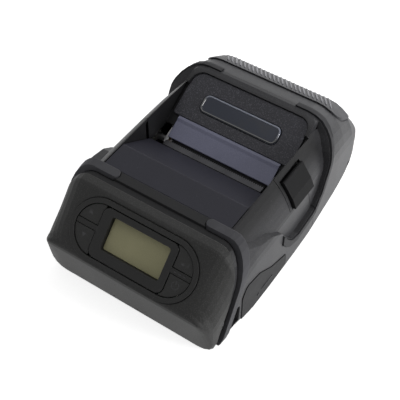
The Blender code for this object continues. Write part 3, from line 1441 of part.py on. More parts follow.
def make_main_board(finish):
    """Main board on four posts above the battery."""
    board = block("board", (-MAIN_BOARD_HALF, MAIN_BOARD_FRONT, MAIN_BOARD_Z),
                  (MAIN_BOARD_HALF, MAIN_BOARD_REAR, MAIN_BOARD_Z + BOARD_THICK))
    for place in post_places():
        board = less(board, prism("hole", circle_outline(SCREW_SHANK + GAP, place, 12), -FAR, FAR))
    return keep(board, "main_board", finish)


def board_post(place):
    """Post of the tray that carries the main board."""
    post = prism("post", circle_outline(POST_RADIUS, place, 16), TRAY_FLOOR - GAP, MAIN_BOARD_Z - GAP)
    hole = prism("hole", circle_outline(SCREW_SHANK + GAP, place, 12), MAIN_BOARD_Z - SCREW_LENGTH - GAP, FAR)
    return less(post, hole)


def make_board_screw(name, place, finish):
    """Screw that holds the main board on its post."""
    top = MAIN_BOARD_Z + BOARD_THICK + GAP
    head = prism("head", circle_outline(SCREW_HEAD, place, 14), top, top + SCREW_HEAD_HIGH)
    shank = prism("shank", circle_outline(SCREW_SHANK, place, 12), MAIN_BOARD_Z - SCREW_LENGTH + GAP, top + GAP)
    return keep(join(head, shank), name, finish)


def make_paper_cradle(finish):
    """Trough with end walls for the paper roll."""
    outer_radius = CRADLE_RADIUS + CRADLE_THICK
    turns = [math.pi * (1 + step / CRADLE_STEPS) for step in range(CRADLE_STEPS + 1)]
    outer = [(CRADLE_Y + outer_radius * math.cos(a), CRADLE_Z + outer_radius * math.sin(a)) for a in turns]
    inner = [(CRADLE_Y + CRADLE_RADIUS * math.cos(a), CRADLE_Z + CRADLE_RADIUS * math.sin(a)) for a in turns]
    trough = side_prism("cradle", outer, -CRADLE_HALF - CRADLE_THICK, CRADLE_HALF + CRADLE_THICK)
    inner[0] = (inner[0][0], CRADLE_Z + OVERRUN)
    inner[-1] = (inner[-1][0], CRADLE_Z + OVERRUN)
    space = side_prism("space", inner, -CRADLE_HALF, CRADLE_HALF)
    return keep(less(trough, space), "paper_cradle", finish)


def make_paper_sensor(finish):
    """Optical sensor on the front edge of the cradle."""
    rear = CRADLE_Y - CRADLE_RADIUS - CRADLE_THICK - GAP
    width, depth, height = SENSOR_SIZE
    return keep(block("sensor", (-width / 2, rear - depth, CRADLE_Z - height), (width / 2, rear, CRADLE_Z)),
                "paper_sensor", finish)


def finishes():
    """All finishes of the printer."""
    return {
        "case": material("case_plastic", (0.030, 0.031, 0.033), 0.55),
        "fascia": material("fascia_plastic", (0.033, 0.033, 0.034), 0.6),
        "deck": material("deck_plastic", (0.020, 0.022, 0.028), 0.5),
        "plate": material("plate_plastic", (0.040, 0.041, 0.045), 0.5),
        "strip": material("exit_plastic", (0.060, 0.064, 0.078), 0.45),
        "rubber": material("bumper_rubber", (0.022, 0.022, 0.024), 0.7),
        "keys": material("key_rubber", (0.030, 0.030, 0.031), 0.6),
        "window": material("smoked_window", (0.030, 0.034, 0.045), 0.1),
        "lens": material("display_lens", (0.200, 0.200, 0.160), 0.1),
        "display": material("display_panel", (0.240, 0.230, 0.130), 0.3),
        "steel": material("bright_steel", (0.560, 0.560, 0.570), 0.3, 1.0),
        "aluminium": material("cast_aluminium", (0.600, 0.600, 0.610), 0.4, 1.0),
        "platen": material("platen_rubber", (0.012, 0.012, 0.013), 0.6),
        "nylon": material("gear_nylon", (0.650, 0.640, 0.600), 0.45),
        "board": material("circuit_board", (0.010, 0.090, 0.040), 0.4),
        "ceramic": material("head_ceramic", (0.420, 0.430, 0.440), 0.2),
        "inner": material("inner_plastic", (0.015, 0.015, 0.016), 0.5),
        "bronze": material("bush_bronze", (0.400, 0.250, 0.120), 0.35, 1.0),
        "battery": material("battery_plastic", (0.045, 0.050, 0.060), 0.5),
    }


def make_cases(f):
    """Shells, covers and bumpers."""
    make_base_tray(f["case"])
    make_battery_door(f["case"])
    make_front_case(f["case"])
    make_rear_cover(f["case"])
    make_front_fascia(f["fascia"])
    make_deck_cover(f["deck"])
    make_cover_plate(f["plate"])
    make_cover_window(f["window"])
    make_exit_bar(f["strip"])
    make_rear_grip(f["case"])
    make_port_cover(f["rubber"])
    make_hinge_pin(f["steel"])
    for side in (-1, 1):
        make_front_bumper(side, f["rubber"])
        make_rear_bumper(side, f["rubber"])
        make_side_trim(side, f["rubber"])
        make_strap_bar(side, f["steel"])


def make_controls(f):
    """Display, keys and the release button with its latch."""
    make_keypad_ring(f["fascia"])
    make_display_bezel(f["fascia"])
    make_lcd_window(f["lens"])
    make_lcd_panel(f["display"])
    make_key_board(f["board"])
    for name, side, upper in KEYS:
        make_key(name, side, upper, f["keys"])
    make_release_button(f["case"])
    make_button_spring(f["steel"])
    make_latch_hook(f["steel"])
    make_latch_pin(f["steel"])
    make_latch_catch(f["steel"])


def make_mechanism(f):
    """Print mechanism, paper path, power and boards."""
    make_platen(f["platen"])
    make_platen_shaft(f["steel"])
    make_platen_bracket(f["steel"])
    for side in (-1, 1):
        make_bush(side, f["bronze"])
        make_head_spring(side, f["steel"])
    platen, idler, pinion = gear_phases()
    make_gear("platen_gear", PLATEN_TEETH, PLATEN_Y, PLATEN_Z, platen, SHAFT_RADIUS + GAP, f["nylon"])
    make_gear("idler_gear", IDLER_TEETH, IDLER_Y, IDLER_Z, idler, IDLER_PIN + RUNNING_GAP, f["nylon"])
    make_pinion(pinion, f["steel"])
    make_idler_pin(f["steel"])
    make_motor(f["inner"])
    make_mechanism_frame(f["steel"])
    make_print_head(f["ceramic"])
    make_heat_sink(f["aluminium"])
    make_tear_bar(f["steel"])
    make_paper_cradle(f["inner"])
    make_paper_sensor(f["inner"])
    make_battery(f["battery"])
    make_main_board(f["board"])
    places = post_places()
    make_board_screw("board_screw_left", places[0], f["steel"])
    make_board_screw("board_screw_right", places[-1], f["steel"])
    make_port_board(f["board"])
    box_socket("serial_socket", SERIAL_SIZE, SERIAL_PLACE, f["inner"])
    box_socket("usb_socket", USB_SIZE, USB_PLACE, f["aluminium"])
    make_dc_jack(f["inner"])


def main():
    """Build the printer."""
    start_scene()
    f = finishes()
    make_cases(f)
    make_controls(f)
    make_mechanism(f)


main()
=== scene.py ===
"""Portable receipt printer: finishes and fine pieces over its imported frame."""
import math

import bmesh
import bpy
from bpy.props import FloatProperty, FloatVectorProperty, IntProperty, PointerProperty
from bpy.types import Operator, Panel, PropertyGroup
from mathutils import Matrix, Vector
from mathutils.bvhtree import BVHTree


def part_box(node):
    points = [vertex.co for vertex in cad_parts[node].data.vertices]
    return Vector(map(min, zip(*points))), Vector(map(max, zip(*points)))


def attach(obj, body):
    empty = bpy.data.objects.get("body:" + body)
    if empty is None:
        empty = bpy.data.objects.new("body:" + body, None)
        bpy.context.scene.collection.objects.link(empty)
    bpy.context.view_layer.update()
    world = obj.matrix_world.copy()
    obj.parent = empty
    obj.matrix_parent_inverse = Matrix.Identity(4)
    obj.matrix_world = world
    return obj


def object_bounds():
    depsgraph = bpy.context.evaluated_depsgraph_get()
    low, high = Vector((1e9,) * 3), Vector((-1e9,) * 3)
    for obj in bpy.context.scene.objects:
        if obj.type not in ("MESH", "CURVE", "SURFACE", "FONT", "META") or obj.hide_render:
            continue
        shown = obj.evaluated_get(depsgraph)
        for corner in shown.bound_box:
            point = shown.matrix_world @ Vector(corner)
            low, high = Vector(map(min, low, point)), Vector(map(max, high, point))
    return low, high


bl_info = {
    "name": "Portable receipt printer",
    "version": (1, 0, 0),
    "blender": (4, 5, 0),
    "location": "View3D > Sidebar > Printer",
    "description": "Finishes, ribs, key marks, rims and stage for a portable receipt printer",
    "category": "Object",
}

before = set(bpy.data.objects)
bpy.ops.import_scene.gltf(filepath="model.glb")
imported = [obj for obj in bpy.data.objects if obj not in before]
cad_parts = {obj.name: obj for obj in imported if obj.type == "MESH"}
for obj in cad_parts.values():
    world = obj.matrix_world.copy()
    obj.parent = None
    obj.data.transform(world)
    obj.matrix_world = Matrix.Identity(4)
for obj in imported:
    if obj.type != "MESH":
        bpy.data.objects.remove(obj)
CAD_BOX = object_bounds()

# Tilted planes that carry fine pieces, in metres: the face of the front cap and the cover plate
FACE_MIDDLE = (0, -0.0685, 0.04308)
FACE_RISE = 0.70957
FACE_RUN = 0.70464
PLATE_FOOT = (0, 0.0156, 0.0459)
PLATE_RISE = 0.48953
PLATE_RUN = 0.87198

# Colours of the inner pieces
STEEL = (0.50, 0.50, 0.52)
BRACKET_STEEL = (0.50, 0.50, 0.51)
TEAR_STEEL = (0.050, 0.050, 0.054)
BRONZE = (0.40, 0.24, 0.11)
ALUMINIUM = (0.58, 0.58, 0.59)
MOTOR_CAN = (0.36, 0.36, 0.37)
NYLON = (0.58, 0.57, 0.52)
CERAMIC = (0.36, 0.37, 0.39)
INNER_BLACK = (0.012, 0.012, 0.013)
PLATEN_BLACK = (0.011, 0.011, 0.012)
BATTERY_BLUE = (0.040, 0.044, 0.054)

# Tones of the outer pieces, as shares of the shell's, the cap's or the bumpers' colour
# Painted light: the grip and its ribs are made lighter than the shell for the light that falls on them from
# behind
GRIP_LIGHT_TONE = 1.6
RIB_LIGHT_TONE = 5.6
BUTTON_TONE = 0.20
FLAP_TONE = 0.34
FLAP_MARK_TONE = 1.1
RING_TONE = 0.80
BEZEL_TONE = 0.62
KEY_TONE = 1.12
# Painted light: the front bumpers' rubber is made lighter than the rear bumpers' to lift the shade they sit
# in
FRONT_BUMPER_LIGHT_TONE = 2.8

# Grain of the outer pieces, as shares of the shell's grain
DECK_GRAIN = 0.8
PLATE_GRAIN = 1.1
FLAP_GRAIN = 1.1
EXIT_GRAIN = 0.7
BEZEL_GRAIN = 0.7
PLATEN_GRAIN = 0.6

# Radii that soften edges, in metres, and the mask of the places where an edge turns
FINE_EDGE = 0.0002
SMALL_EDGE = 0.0004
BATTERY_EDGE = 0.0005
RING_EDGE = 0.0006
EDGE_SAMPLES = 6
EDGE_SPAN = (0.01, 0.12)

# Moulded plastic: scales count features in a metre, and tones are shares of the plain tone
SHINE = 0.2
BUTTON_SHINE = 0.1
COARSE_GRAINS = 5
FINE_SHARE = 0.7
COARSE_SHARE = 0.3
GRAIN_SPAN = (0.38, 0.66)
GRAIN_SHARE = 0.55
GRAIN_TONE = 1.55
GRAIN_GLOSS = 0.10
GRAIN_DEPTH_SHARE = 0.16
MOTTLE_SCALE = 28
MOTTLE_SPAN = (0.32, 0.68)
MOTTLE_LOW_TONE = 0.90
MOTTLE_HIGH_TONE = 1.10
MOTTLE_GLOSS = 0.14
SPECK_GATE = 0.86
SPECK_TONE = 4.0
SCUFF_SCALE = 420
SCUFF_SPAN = (0.38, 0.62)
SCUFF_TONE = 2.6
DUST_SCALE = 900
DUST_SPAN = (0.70, 0.78)
DUST_SHARE = 0.10
DUST = (0.35, 0.35, 0.36)
COAT_ROUGHNESS = 0.25

# Zones of painted light on the hood and painted shade on the pods: the spans in metres over which each fades
# in, its share and its tone
# Painted light on the hood's band, which faces the light from behind
HOOD_BAND_FRONT = (0.0454, 0.0462)
HOOD_BAND_REAR = (0.0532, 0.0546)
HOOD_BAND_FOOT = (0.050, 0.053)
HOOD_BAND_LIGHT_SHARE = 0.85
HOOD_BAND_LIGHT_TONE = 1.55
# Painted shade on the inner tops of the pods and the walls of the channel
POD_INNER_EDGE = (0.0410, 0.0475)
POD_FOOT = (0.030, 0.040)
POD_REAR = (0.030, 0.040)
POD_SHADE_SHARE = 0.8
POD_SHADE_TONE = 0.12

# Rubber
RUBBER_ROUGHNESS = 0.62
BLOOM_SCALE = 60
BLOOM_SPAN = (0.35, 0.70)
BLOOM_SHARE = 0.6
BLOOM_TONE = 1.8
BLOOM_GLOSS = 0.2
RUBBED_SHARE = 0.35
RUBBED_TONE = 2.2
PORE_DEPTH_SHARE = 0.12

# Metal
LINE_SCALE = 1800
LINE_GLOSS = 0.22
LINE_DEPTH = 0.00002
TURNED_GLOSS = 0.05
STAIN_SCALE = 90
STAIN_SPAN = (0.35, 0.70)
STAIN_LOW_TONE = 0.82
STAIN_HIGH_TONE = 1.05

# Smoked window and its polished rim, with a painted highlight on the rim's upper side and painted shade on
# its lower side
SMOKE_COOL = (0.044, 0.051, 0.074)
SMOKE_WARM = (0.060, 0.060, 0.066)
SMOKE_SCALE = 70
SMOKE_SPAN = (0.52, 0.75)
SMOKE_ROUGHNESS = 0.10
SMOKE_GLOSS = 0.10
HAZE_SCALE = 120
HAIR_SCALE = 500
HAIR_STRETCH = (1, 14, 14)
HAIR_DEPTH = 0.000004
RIM_HAZE_SCALE = 900
RIM_LEAN = 0.06
RIM_LIT_SPAN = (0.0250, 0.0285)
RIM_SHADE_DARK = (0.008, 0.009, 0.012)
RIM_HIGHLIGHT_COOL = (0.20, 0.22, 0.30)
RIM_HIGHLIGHT_BRIGHT = (0.34, 0.36, 0.44)
RIM_HAZE_SPAN = (0.4, 0.7)
RIM_HAZE_SHARE = 0.3
RIM_ROUGHNESS = 0.16
RIM_GLOSS = 0.08
RIM_COAT = 0.8
RIM_COAT_ROUGHNESS = 0.05

# Display: the pitch of its dots in metres, and the lines between them as shares of it
DOT_PITCH = 0.00042
DOT_RISE = 1.42
DOT_EDGE = (0.40, 0.48)
DOT_SHARE = 0.30
DOT_TONE = 0.70
LENS_SCALE = 60
LENS_SPAN = (0.3, 0.7)
LENS_LOW_TONE = 0.94
LENS_HIGH_TONE = 1.06
LENS_ROUGHNESS = 0.34
LENS_GLOSS = 0.1
LENS_GRAIN_SCALE = 2600
LENS_GRAIN_SPAN = (0.35, 0.7)
LENS_GRAIN_SHARE = 0.25
LENS_GRAIN_TONE = 1.30

# Circuit board: pitches of the tracks in metres, their lines as shares of a pitch, and the pads' size
TRACK_PITCH = 0.0019
TRACK_EDGE = (0.38, 0.42)
CROSSING_PITCH = 0.0033
CROSSING_EDGE = (0.41, 0.44)
TRACK_GATE_SCALE = 210
PAD_SCALE = 420
PAD_SIZE = 0.20
MASK_GREEN = (0.008, 0.075, 0.030)
TRACK_GREEN = (0.016, 0.13, 0.05)
TIN = (0.62, 0.60, 0.55)
BOARD_RELIEF = 0.00003
BOARD_ROUGHNESS = 0.38
PAD_GLOSS = 0.1
PAD_METAL = 0.9

# Printed ink
INK = (0.006, 0.006, 0.007)
INK_SCALE = 1600
INK_SPAN = (0.35, 0.65)
INK_TONE = 1.5
INK_ROUGHNESS = 0.5
INK_GLOSS = 0.1
INK_DEPTH = 0.00001

# Grip ribs: margins on the grip, lean, round ends, and a section in shares of the width and the rise
RIB_FRONT_MARGIN = 0.0022
RIB_REAR_MARGIN = 0.0030
RIB_LEAN = 0.62
RIB_STEPS = 14
RIB_END_SHARE = 0.06
RIB_TIP_SHARE = 0.12
RIB_SECTION_SHARES = ((-0.5, -0.3), (-0.42, 0.55), (-0.22, 0.95), (0.0, 1.0), (0.22, 0.95), (0.42, 0.55),
                      (0.5, -0.3))

# How far outside a surface the rays start that look for it, in metres
RAY_REACH = 0.01

# Window rim: heights of its section over the plate, and shares of its width
WINDOW_CORNER = 0.0035
RIM_SINK = 0.0003
RIM_LIP = 0.0002
RIM_SHOULDER = 0.00075
RIM_CREST = 0.00090
RIM_SHOULDER_SHARE = 0.30
RIM_CREST_SHARE = 0.62
RIM_INNER_SHARE = 1.25
RIM_CORNER_STEPS = 10

# Key marks in metres, placed on the face from its middle
MARK_FOOT = 0.00018
KEY_TOP = 0.0002
STROKE = 0.00045
UP_MARK = (-0.0277, 0.0068)
DOWN_MARK = (-0.0270, -0.0052)
ARROW_HALF = 0.0014
ARROW_BACK = 0.0011
ARROW_TIP = 0.0013
ENTER_MARK = (0.0274, 0.0062)
ENTER_STEM = 0.0020
ENTER_TOP = 0.0014
ENTER_DROP = 0.0007
ENTER_NECK = 0.0006
ENTER_TIP = 0.0022
ENTER_HEAD_HALF = 0.0010
POWER_MARK = (0.0271, -0.0051)
POWER_RADIUS = 0.0019
POWER_GAP_DEGREES = 32
POWER_STEP_DEGREES = 12
POWER_BAR_FOOT = 0.0002
POWER_BAR_TOP = 0.0025
DASH_COUNT = 3
DASH_START = 0.0246
DASH_PITCH = 0.0026
DASH_HEIGHT = 0.0006
DASH_LENGTH = 0.0015
DASH_WIDTH = 0.0005
DASH_CORNER = 0.0002
DASH_CORNER_STEPS = 3
DASH_FOOT = 0.0005
BAR_TOP = 0.0006

# Flap marks: the dot and the line by their middle along Y and Z, half length and half width,
# and the section of both as shares of the half width with their heights
FLAP_DOT = (-0.0372, 0.0108, 0.0009, 0.0009)
FLAP_LINE = (-0.0290, 0.0118, 0.0052, 0.00045)
FLAP_MARK_SECTION = ((1.0, -0.0001), (1.0, 0.00018), (0.7, 0.0003))
FLAP_MARK_STEPS = 24

# Stage: places and sizes in metres
FLOOR_HALF = 6
FLOOR_DROP = 0.0001
FLOOR_TONE = (0.92, 0.92, 0.92, 1)
FLOOR_ROUGHNESS = 0.9
FLOOR_SHINE = 0.1
FLOOR_GLOW = 0.80
WHITE = (1, 1, 1, 1)
KEY_LAMP_PLACE = (-0.10, 0.10, 1.0)
KEY_LAMP_SIZE = (0.9, 0.7)
SIDE_LAMP_PLACE = (0.95, 0.12, 0.13)
SIDE_LAMP_SIZE = (0.24, 0.9)
BACK_LAMP_PLACE = (0.20, 0.95, 0.42)
BACK_LAMP_SIZE = (0.9, 0.4)
PRINTER_MIDDLE = (0, 0, 0.03)
COVER_MIDDLE = (0, 0.03, 0.03)
CAMERA_PLACE = (0.1765, -0.2728, 0.3991)
CAMERA_SENSOR = 36
CAMERA_NEAR = 0.01
CAMERA_FAR = 20


def tilted(point, rise, run):
    """Frame on a slope that rises to the rear: X across, Y up the slope, Z out of it."""
    return Matrix.Translation(point) @ Matrix.Rotation(math.atan2(rise, run), 4, 'X')


FACE = tilted(FACE_MIDDLE, FACE_RISE, FACE_RUN)
PLATE = tilted(PLATE_FOOT, PLATE_RISE, PLATE_RUN)


class Value:
    """A shader socket that takes part in expressions."""

    def __init__(self, nodes, socket):
        self.nodes = nodes
        self.socket = socket

    def __add__(self, other):
        return self.nodes.sum("ADD", self, other)

    def __radd__(self, other):
        return self.nodes.sum("ADD", other, self)

    def __sub__(self, other):
        return self.nodes.sum("SUBTRACT", self, other)

    def __rsub__(self, other):
        return self.nodes.sum("SUBTRACT", other, self)

    def __mul__(self, other):
        return self.nodes.sum("MULTIPLY", self, other)

    def __rmul__(self, other):
        return self.nodes.sum("MULTIPLY", other, self)

    def __truediv__(self, other):
        return self.nodes.sum("DIVIDE", self, other)

    def __rtruediv__(self, other):
        return self.nodes.sum("DIVIDE", other, self)

    def __gt__(self, other):
        return self.nodes.sum("GREATER_THAN", self, other)

    def __lt__(self, other):
        return self.nodes.sum("LESS_THAN", self, other)


class Nodes:
    """An emptied node tree that is filled again."""

    def __init__(self, tree):
        self.tree = tree
        tree.nodes.clear()

    def node(self, kind, settings=None, out=0, **inputs):
        """Any node: its settings first, then values or links for its sockets."""
        item = self.tree.nodes.new(kind)
        for key, value in (settings or {}).items():
            setattr(item, key, value)
        self.fill(item, inputs)
        return Value(self, item.outputs[out]) if item.outputs else None

    def fill(self, item, inputs):
        """Set or link sockets, each under its name with _ for a space, or under i and its number."""
        for key, value in inputs.items():
            target = item.inputs[int(key[1:]) if key[1:].isdigit() else key.replace("_", " ")]
            if isinstance(value, Value):
                self.tree.links.new(value.socket, target)
            else:
                target.default_value = value

    def outputs(self, kind, **inputs):
        """All outputs of one new node, by name."""
        item = self.node(kind, **inputs).socket.node
        return {socket.name: Value(self, socket) for socket in item.outputs}

    def sum(self, operation, one, two=0.0):
        """A Math node."""
        return self.node('ShaderNodeMath', {"operation": operation}, i0=one, i1=two)

    def seen(self):
        """One for the rays that show the surroundings: the eye's, gloss and clear parts."""
        ray = self.outputs('ShaderNodeLightPath')
        eye_or_gloss = self.sum("MAXIMUM", ray["Is Camera Ray"], ray["Is Glossy Ray"])
        return self.sum("MAXIMUM", eye_or_gloss, ray["Is Transmission Ray"])


class Shader(Nodes):
    """A material in the making, with its surface and its output."""

    def __init__(self, name):
        self.material = bpy.data.materials.new(name)
        self.material.use_nodes = True
        super().__init__(self.material.node_tree)
        surface = self.node('ShaderNodeBsdfPrincipled')
        self.surface = surface.socket.node
        self.node('ShaderNodeOutputMaterial', Surface=surface)
        self.place = self.node('ShaderNodeTexCoord', out="Object")

    def noise(self, scale, detail=2.0, rough=0.5, place=None):
        """Noise between 0 and 1, with features of 1 / scale metres."""
        return self.node('ShaderNodeTexNoise', Vector=place or self.place, Scale=scale, Detail=detail,
                         Roughness=rough)

    def cells(self, scale, out="Distance"):
        """Cells with features of 1 / scale metres."""
        return self.node('ShaderNodeTexVoronoi', out=out, Vector=self.place, Scale=scale)

    def stretched(self, shares):
        """The object coordinates, times a share along each axis."""
        return self.node('ShaderNodeMapping', Vector=self.place, Scale=shares)

    def soften(self, value, low, high):
        """A value mapped from low..high to 0..1, clamped and smooth."""
        return self.node('ShaderNodeMapRange', {"interpolation_type": 'SMOOTHSTEP'}, Value=value,
                         From_Min=low, From_Max=high, To_Min=0.0, To_Max=1.0)

    def repeated(self, value, pitch, edge):
        """Thin lines at a pitch, each softened over a span of the distance from midway between two."""
        midway = self.sum("FRACT", value / pitch) - 0.5
        return self.soften(self.sum("ABSOLUTE", midway), *edge)

    def blend(self, share, one, two):
        """Mix of two colours, through the Mix node's colour sockets."""
        return self.node('ShaderNodeMix', {"data_type": 'RGBA'}, out=2,
                         i0=share, i6=colour(one), i7=colour(two))

    def axes(self):
        """The object coordinates as three values."""
        parts = self.outputs('ShaderNodeSeparateXYZ', Vector=self.place)
        return parts["X"], parts["Y"], parts["Z"]

    def edges(self, radius):
        """Rounded edge normal, and a mask that is 1 where an edge turns."""
        rounded = self.node('ShaderNodeBevel', {"samples": EDGE_SAMPLES}, Radius=radius)
        plain = self.node('ShaderNodeNewGeometry', out="Normal")
        along = self.node('ShaderNodeVectorMath', {"operation": 'DOT_PRODUCT'}, out="Value",
                          i0=rounded, i1=plain)
        return rounded, self.soften(1 - along, *EDGE_SPAN)

    def bump(self, height, distance, strength, normal=None):
        """Normal with a height in it, distance in metres for a height of 1."""
        links = {"Height": height, "Distance": distance, "Strength": strength}
        if normal is not None:
            links["Normal"] = normal
        return self.node('ShaderNodeBump', **links)

    def finish(self, **sockets):
        """Fill the surface's sockets and give the material."""
        self.fill(self.surface, sockets)
        return self.material


def colour(value):
    """Colour with its alpha, or a link as it is."""
    return value if isinstance(value, Value) else (*value[:3], 1)


def toned(tone, share):
    """Colour times a share."""
    return tuple(min(channel * share, 1) for channel in tone[:3])


class PrinterFinishes(PropertyGroup):
    """Colours and grain of the printer's finishes."""
    shell: FloatVectorProperty(name="Shell", description="Charcoal of the housings",
                               subtype='COLOR', size=3, default=(0.037, 0.037, 0.040), min=0, max=1)
    cap: FloatVectorProperty(name="Front cap", description="Warm charcoal of the front cap",
                             subtype='COLOR', size=3, default=(0.030, 0.030, 0.0295), min=0, max=1)
    deck: FloatVectorProperty(name="Deck", description="Blue black of the deck",
                              subtype='COLOR', size=3, default=(0.020, 0.020, 0.028), min=0, max=1)
    plate: FloatVectorProperty(name="Cover plate", description="Grey of the cover plate",
                               subtype='COLOR', size=3, default=(0.046, 0.046, 0.053), min=0, max=1)
    strip: FloatVectorProperty(name="Exit strip", description="Blue grey of the paper exit strip",
                               subtype='COLOR', size=3, default=(0.190, 0.196, 0.280), min=0, max=1)
    rubber: FloatVectorProperty(name="Bumpers", description="Dark rubber of the bumpers",
                                subtype='COLOR', size=3, default=(0.020, 0.020, 0.022), min=0, max=1)
    display: FloatVectorProperty(name="Display", description="Olive of the display",
                                 subtype='COLOR', size=3, default=(0.440, 0.420, 0.252), min=0, max=1)
    grain: FloatProperty(name="Grain", description="Size of the moulded grain",
                         unit='LENGTH', default=0.00032, min=0.0001, max=0.002)
    edge: FloatProperty(name="Edge round", description="Radius that softens the moulded edges",
                        unit='LENGTH', default=0.0005, min=0, max=0.002)


class PrinterDetails(PropertyGroup):
    """Sizes of the fine pieces."""
    rib_pitch: FloatProperty(name="Rib pitch", description="Distance between the grip ribs",
                             unit='LENGTH', default=0.00265, min=0.001, max=0.01)
    rib_width: FloatProperty(name="Rib width", description="Width of one grip rib",
                             unit='LENGTH', default=0.0013, min=0.0004, max=0.005)
    rib_rise: FloatProperty(name="Rib rise", description="Height of the ribs over the grip",
                            unit='LENGTH', default=0.0004, min=0.0001, max=0.002)
    rib_count: IntProperty(name="Ribs", description="Number of grip ribs", default=25, min=1, max=60)
    rim_width: FloatProperty(name="Window rim", description="Width of the window's bevelled rim",
                             unit='LENGTH', default=0.0011, min=0.0003, max=0.003)
    mark_rise: FloatProperty(name="Mark rise", description="Height of the printed key marks",
                             unit='LENGTH', default=0.00005, min=0.00001, max=0.0005)


class PrinterStage(PropertyGroup):
    """Camera and lamps."""
    azimuth: FloatProperty(name="Azimuth", description="Turn of the camera round the printer",
                           subtype='ANGLE', default=math.radians(34.04))
    elevation: FloatProperty(name="Elevation", description="Height of the camera over the horizon",
                             subtype='ANGLE', default=math.radians(50.0))
    lens: FloatProperty(name="Lens", description="Focal length on a 36 mm sensor, in millimetres",
                        default=84.69, min=10, max=300)
    fill: FloatProperty(name="Fill", description="Strength of the even light all round",
                        default=0.18, min=0, max=5)
    key: FloatProperty(name="Key", description="Power of the large lamp above",
                       default=1.4, min=0, max=100)
    side: FloatProperty(name="Side", description="Power of the lamp at the right",
                        default=7.6, min=0, max=100)
    back: FloatProperty(name="Back", description="Power of the lamp behind",
                        default=4.0, min=0, max=100)


def new_mesh(name, bm):
    """Object from a bmesh, in the scene."""
    bmesh.ops.recalc_face_normals(bm, faces=bm.faces)
    mesh = bpy.data.meshes.new(name)
    bm.to_mesh(mesh)
    bm.free()
    item = bpy.data.objects.new(name, mesh)
    bpy.context.scene.collection.objects.link(item)
    return item


def finished(item, material, body, smooth=True):
    """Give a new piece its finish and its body."""
    item.data.materials.append(material)
    for face in item.data.polygons:
        face.use_smooth = smooth
    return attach(item, body)


def dress(names, material):
    """Put a finish on nodes of the frame."""
    for name in names:
        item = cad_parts[name]
        if not item.material_slots:
            item.data.materials.append(material)
        for place in item.material_slots:
            place.material = material


def rounded_box(width, height, radius, centre=(0, 0), steps=8):
    """Outline of a rectangle with round corners."""
    points = []
    corners = ((1, 1, 0), (-1, 1, 90), (-1, -1, 180), (1, -1, 270))
    for side, up, start in corners:
        middle = (centre[0] + side * (width / 2 - radius), centre[1] + up * (height / 2 - radius))
        for index in range(steps + 1):
            angle = math.radians(start + 90 * index / steps)
            points.append((middle[0] + radius * math.cos(angle), middle[1] + radius * math.sin(angle)))
    return points


def bridge(bm, one, two):
    """Faces between two closed rings of vertices."""
    count = len(one)
    for index in range(count):
        after = (index + 1) % count
        bm.faces.new((one[index], one[after], two[after], two[index]))


def lofted(name, rings, place, caps=True):
    """Body through closed rings of points in the frame given."""
    bm = bmesh.new()
    made = [[bm.verts.new(place @ Vector(point)) for point in ring] for ring in rings]
    for one, two in zip(made, made[1:]):
        bridge(bm, one, two)
    if caps:
        bm.faces.new(made[0])
        bm.faces.new(made[-1])
    return new_mesh(name, bm)


def plate_piece(name, outline, low, high, place):
    """Flat piece with an outline, between two heights."""
    return lofted(name, [[(x, y, height) for x, y in outline] for height in (low, high)], place)


def joined(name, items):
    """One object from several new ones."""
    bm = bmesh.new()
    for item in items:
        bm.from_mesh(item.data)
    for item in items:
        mesh = item.data
        bpy.data.objects.remove(item)
        bpy.data.meshes.remove(mesh)
    return new_mesh(name, bm)


def surface_tree(name):
    """Search tree of a node's surface."""
    bm = bmesh.new()
    bm.from_mesh(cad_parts[name].data)
    tree = BVHTree.FromBMesh(bm)
    bm.free()
    return tree


def moulded(name, tone, rough, grain, rise=0.5, edge=0.0, wear=0.4, specks=0.0, coat=0.0, zones=(),
            shine=SHINE):
    """Moulded plastic: fine texture, slow mottling, worn edges and a little dust."""
    shader = Shader(name)
    fine = shader.noise(1 / grain, detail=2.5, rough=0.6)
    coarse = shader.noise(1 / (grain * COARSE_GRAINS))
    mottle = shader.noise(MOTTLE_SCALE, detail=3.0)
    base = shader.blend(shader.soften(mottle, *MOTTLE_SPAN), toned(tone, MOTTLE_LOW_TONE),
                        toned(tone, MOTTLE_HIGH_TONE))
    base = shader.blend(shader.soften(fine, *GRAIN_SPAN) * GRAIN_SHARE, base, toned(tone, GRAIN_TONE))
    if specks:
        spots = shader.node('ShaderNodeTexWhiteNoise', {"noise_dimensions": '3D'}, out="Value",
                            Vector=shader.cells(1 / grain, "Position"))
        base = shader.blend((spots > SPECK_GATE) * specks, base, toned(tone, SPECK_TONE))
    normal = None
    if edge:
        normal, turned = shader.edges(edge)
        scuffed = turned * shader.soften(shader.noise(SCUFF_SCALE, detail=3.0), *SCUFF_SPAN)
        base = shader.blend(scuffed * wear, base, toned(tone, SCUFF_TONE))
    # Zones paint light and shade onto the tone by position: painted shade on the pods, painted light on the
    # hood's band
    for zone in zones:
        share, zone_tone = zone(shader)
        base = shader.blend(share, base, toned(tone, zone_tone))
    dust = shader.soften(shader.noise(DUST_SCALE), *DUST_SPAN) * DUST_SHARE
    base = shader.blend(dust, base, DUST)
    gloss = rough + (mottle - 0.5) * MOTTLE_GLOSS + (fine - 0.5) * GRAIN_GLOSS
    height = fine * FINE_SHARE + coarse * COARSE_SHARE
    return shader.finish(Base_Color=base, Roughness=gloss, Specular_IOR_Level=shine, Coat_Weight=coat,
                         Coat_Roughness=COAT_ROUGHNESS,
                         Normal=shader.bump(height, grain * GRAIN_DEPTH_SHARE, rise, normal))


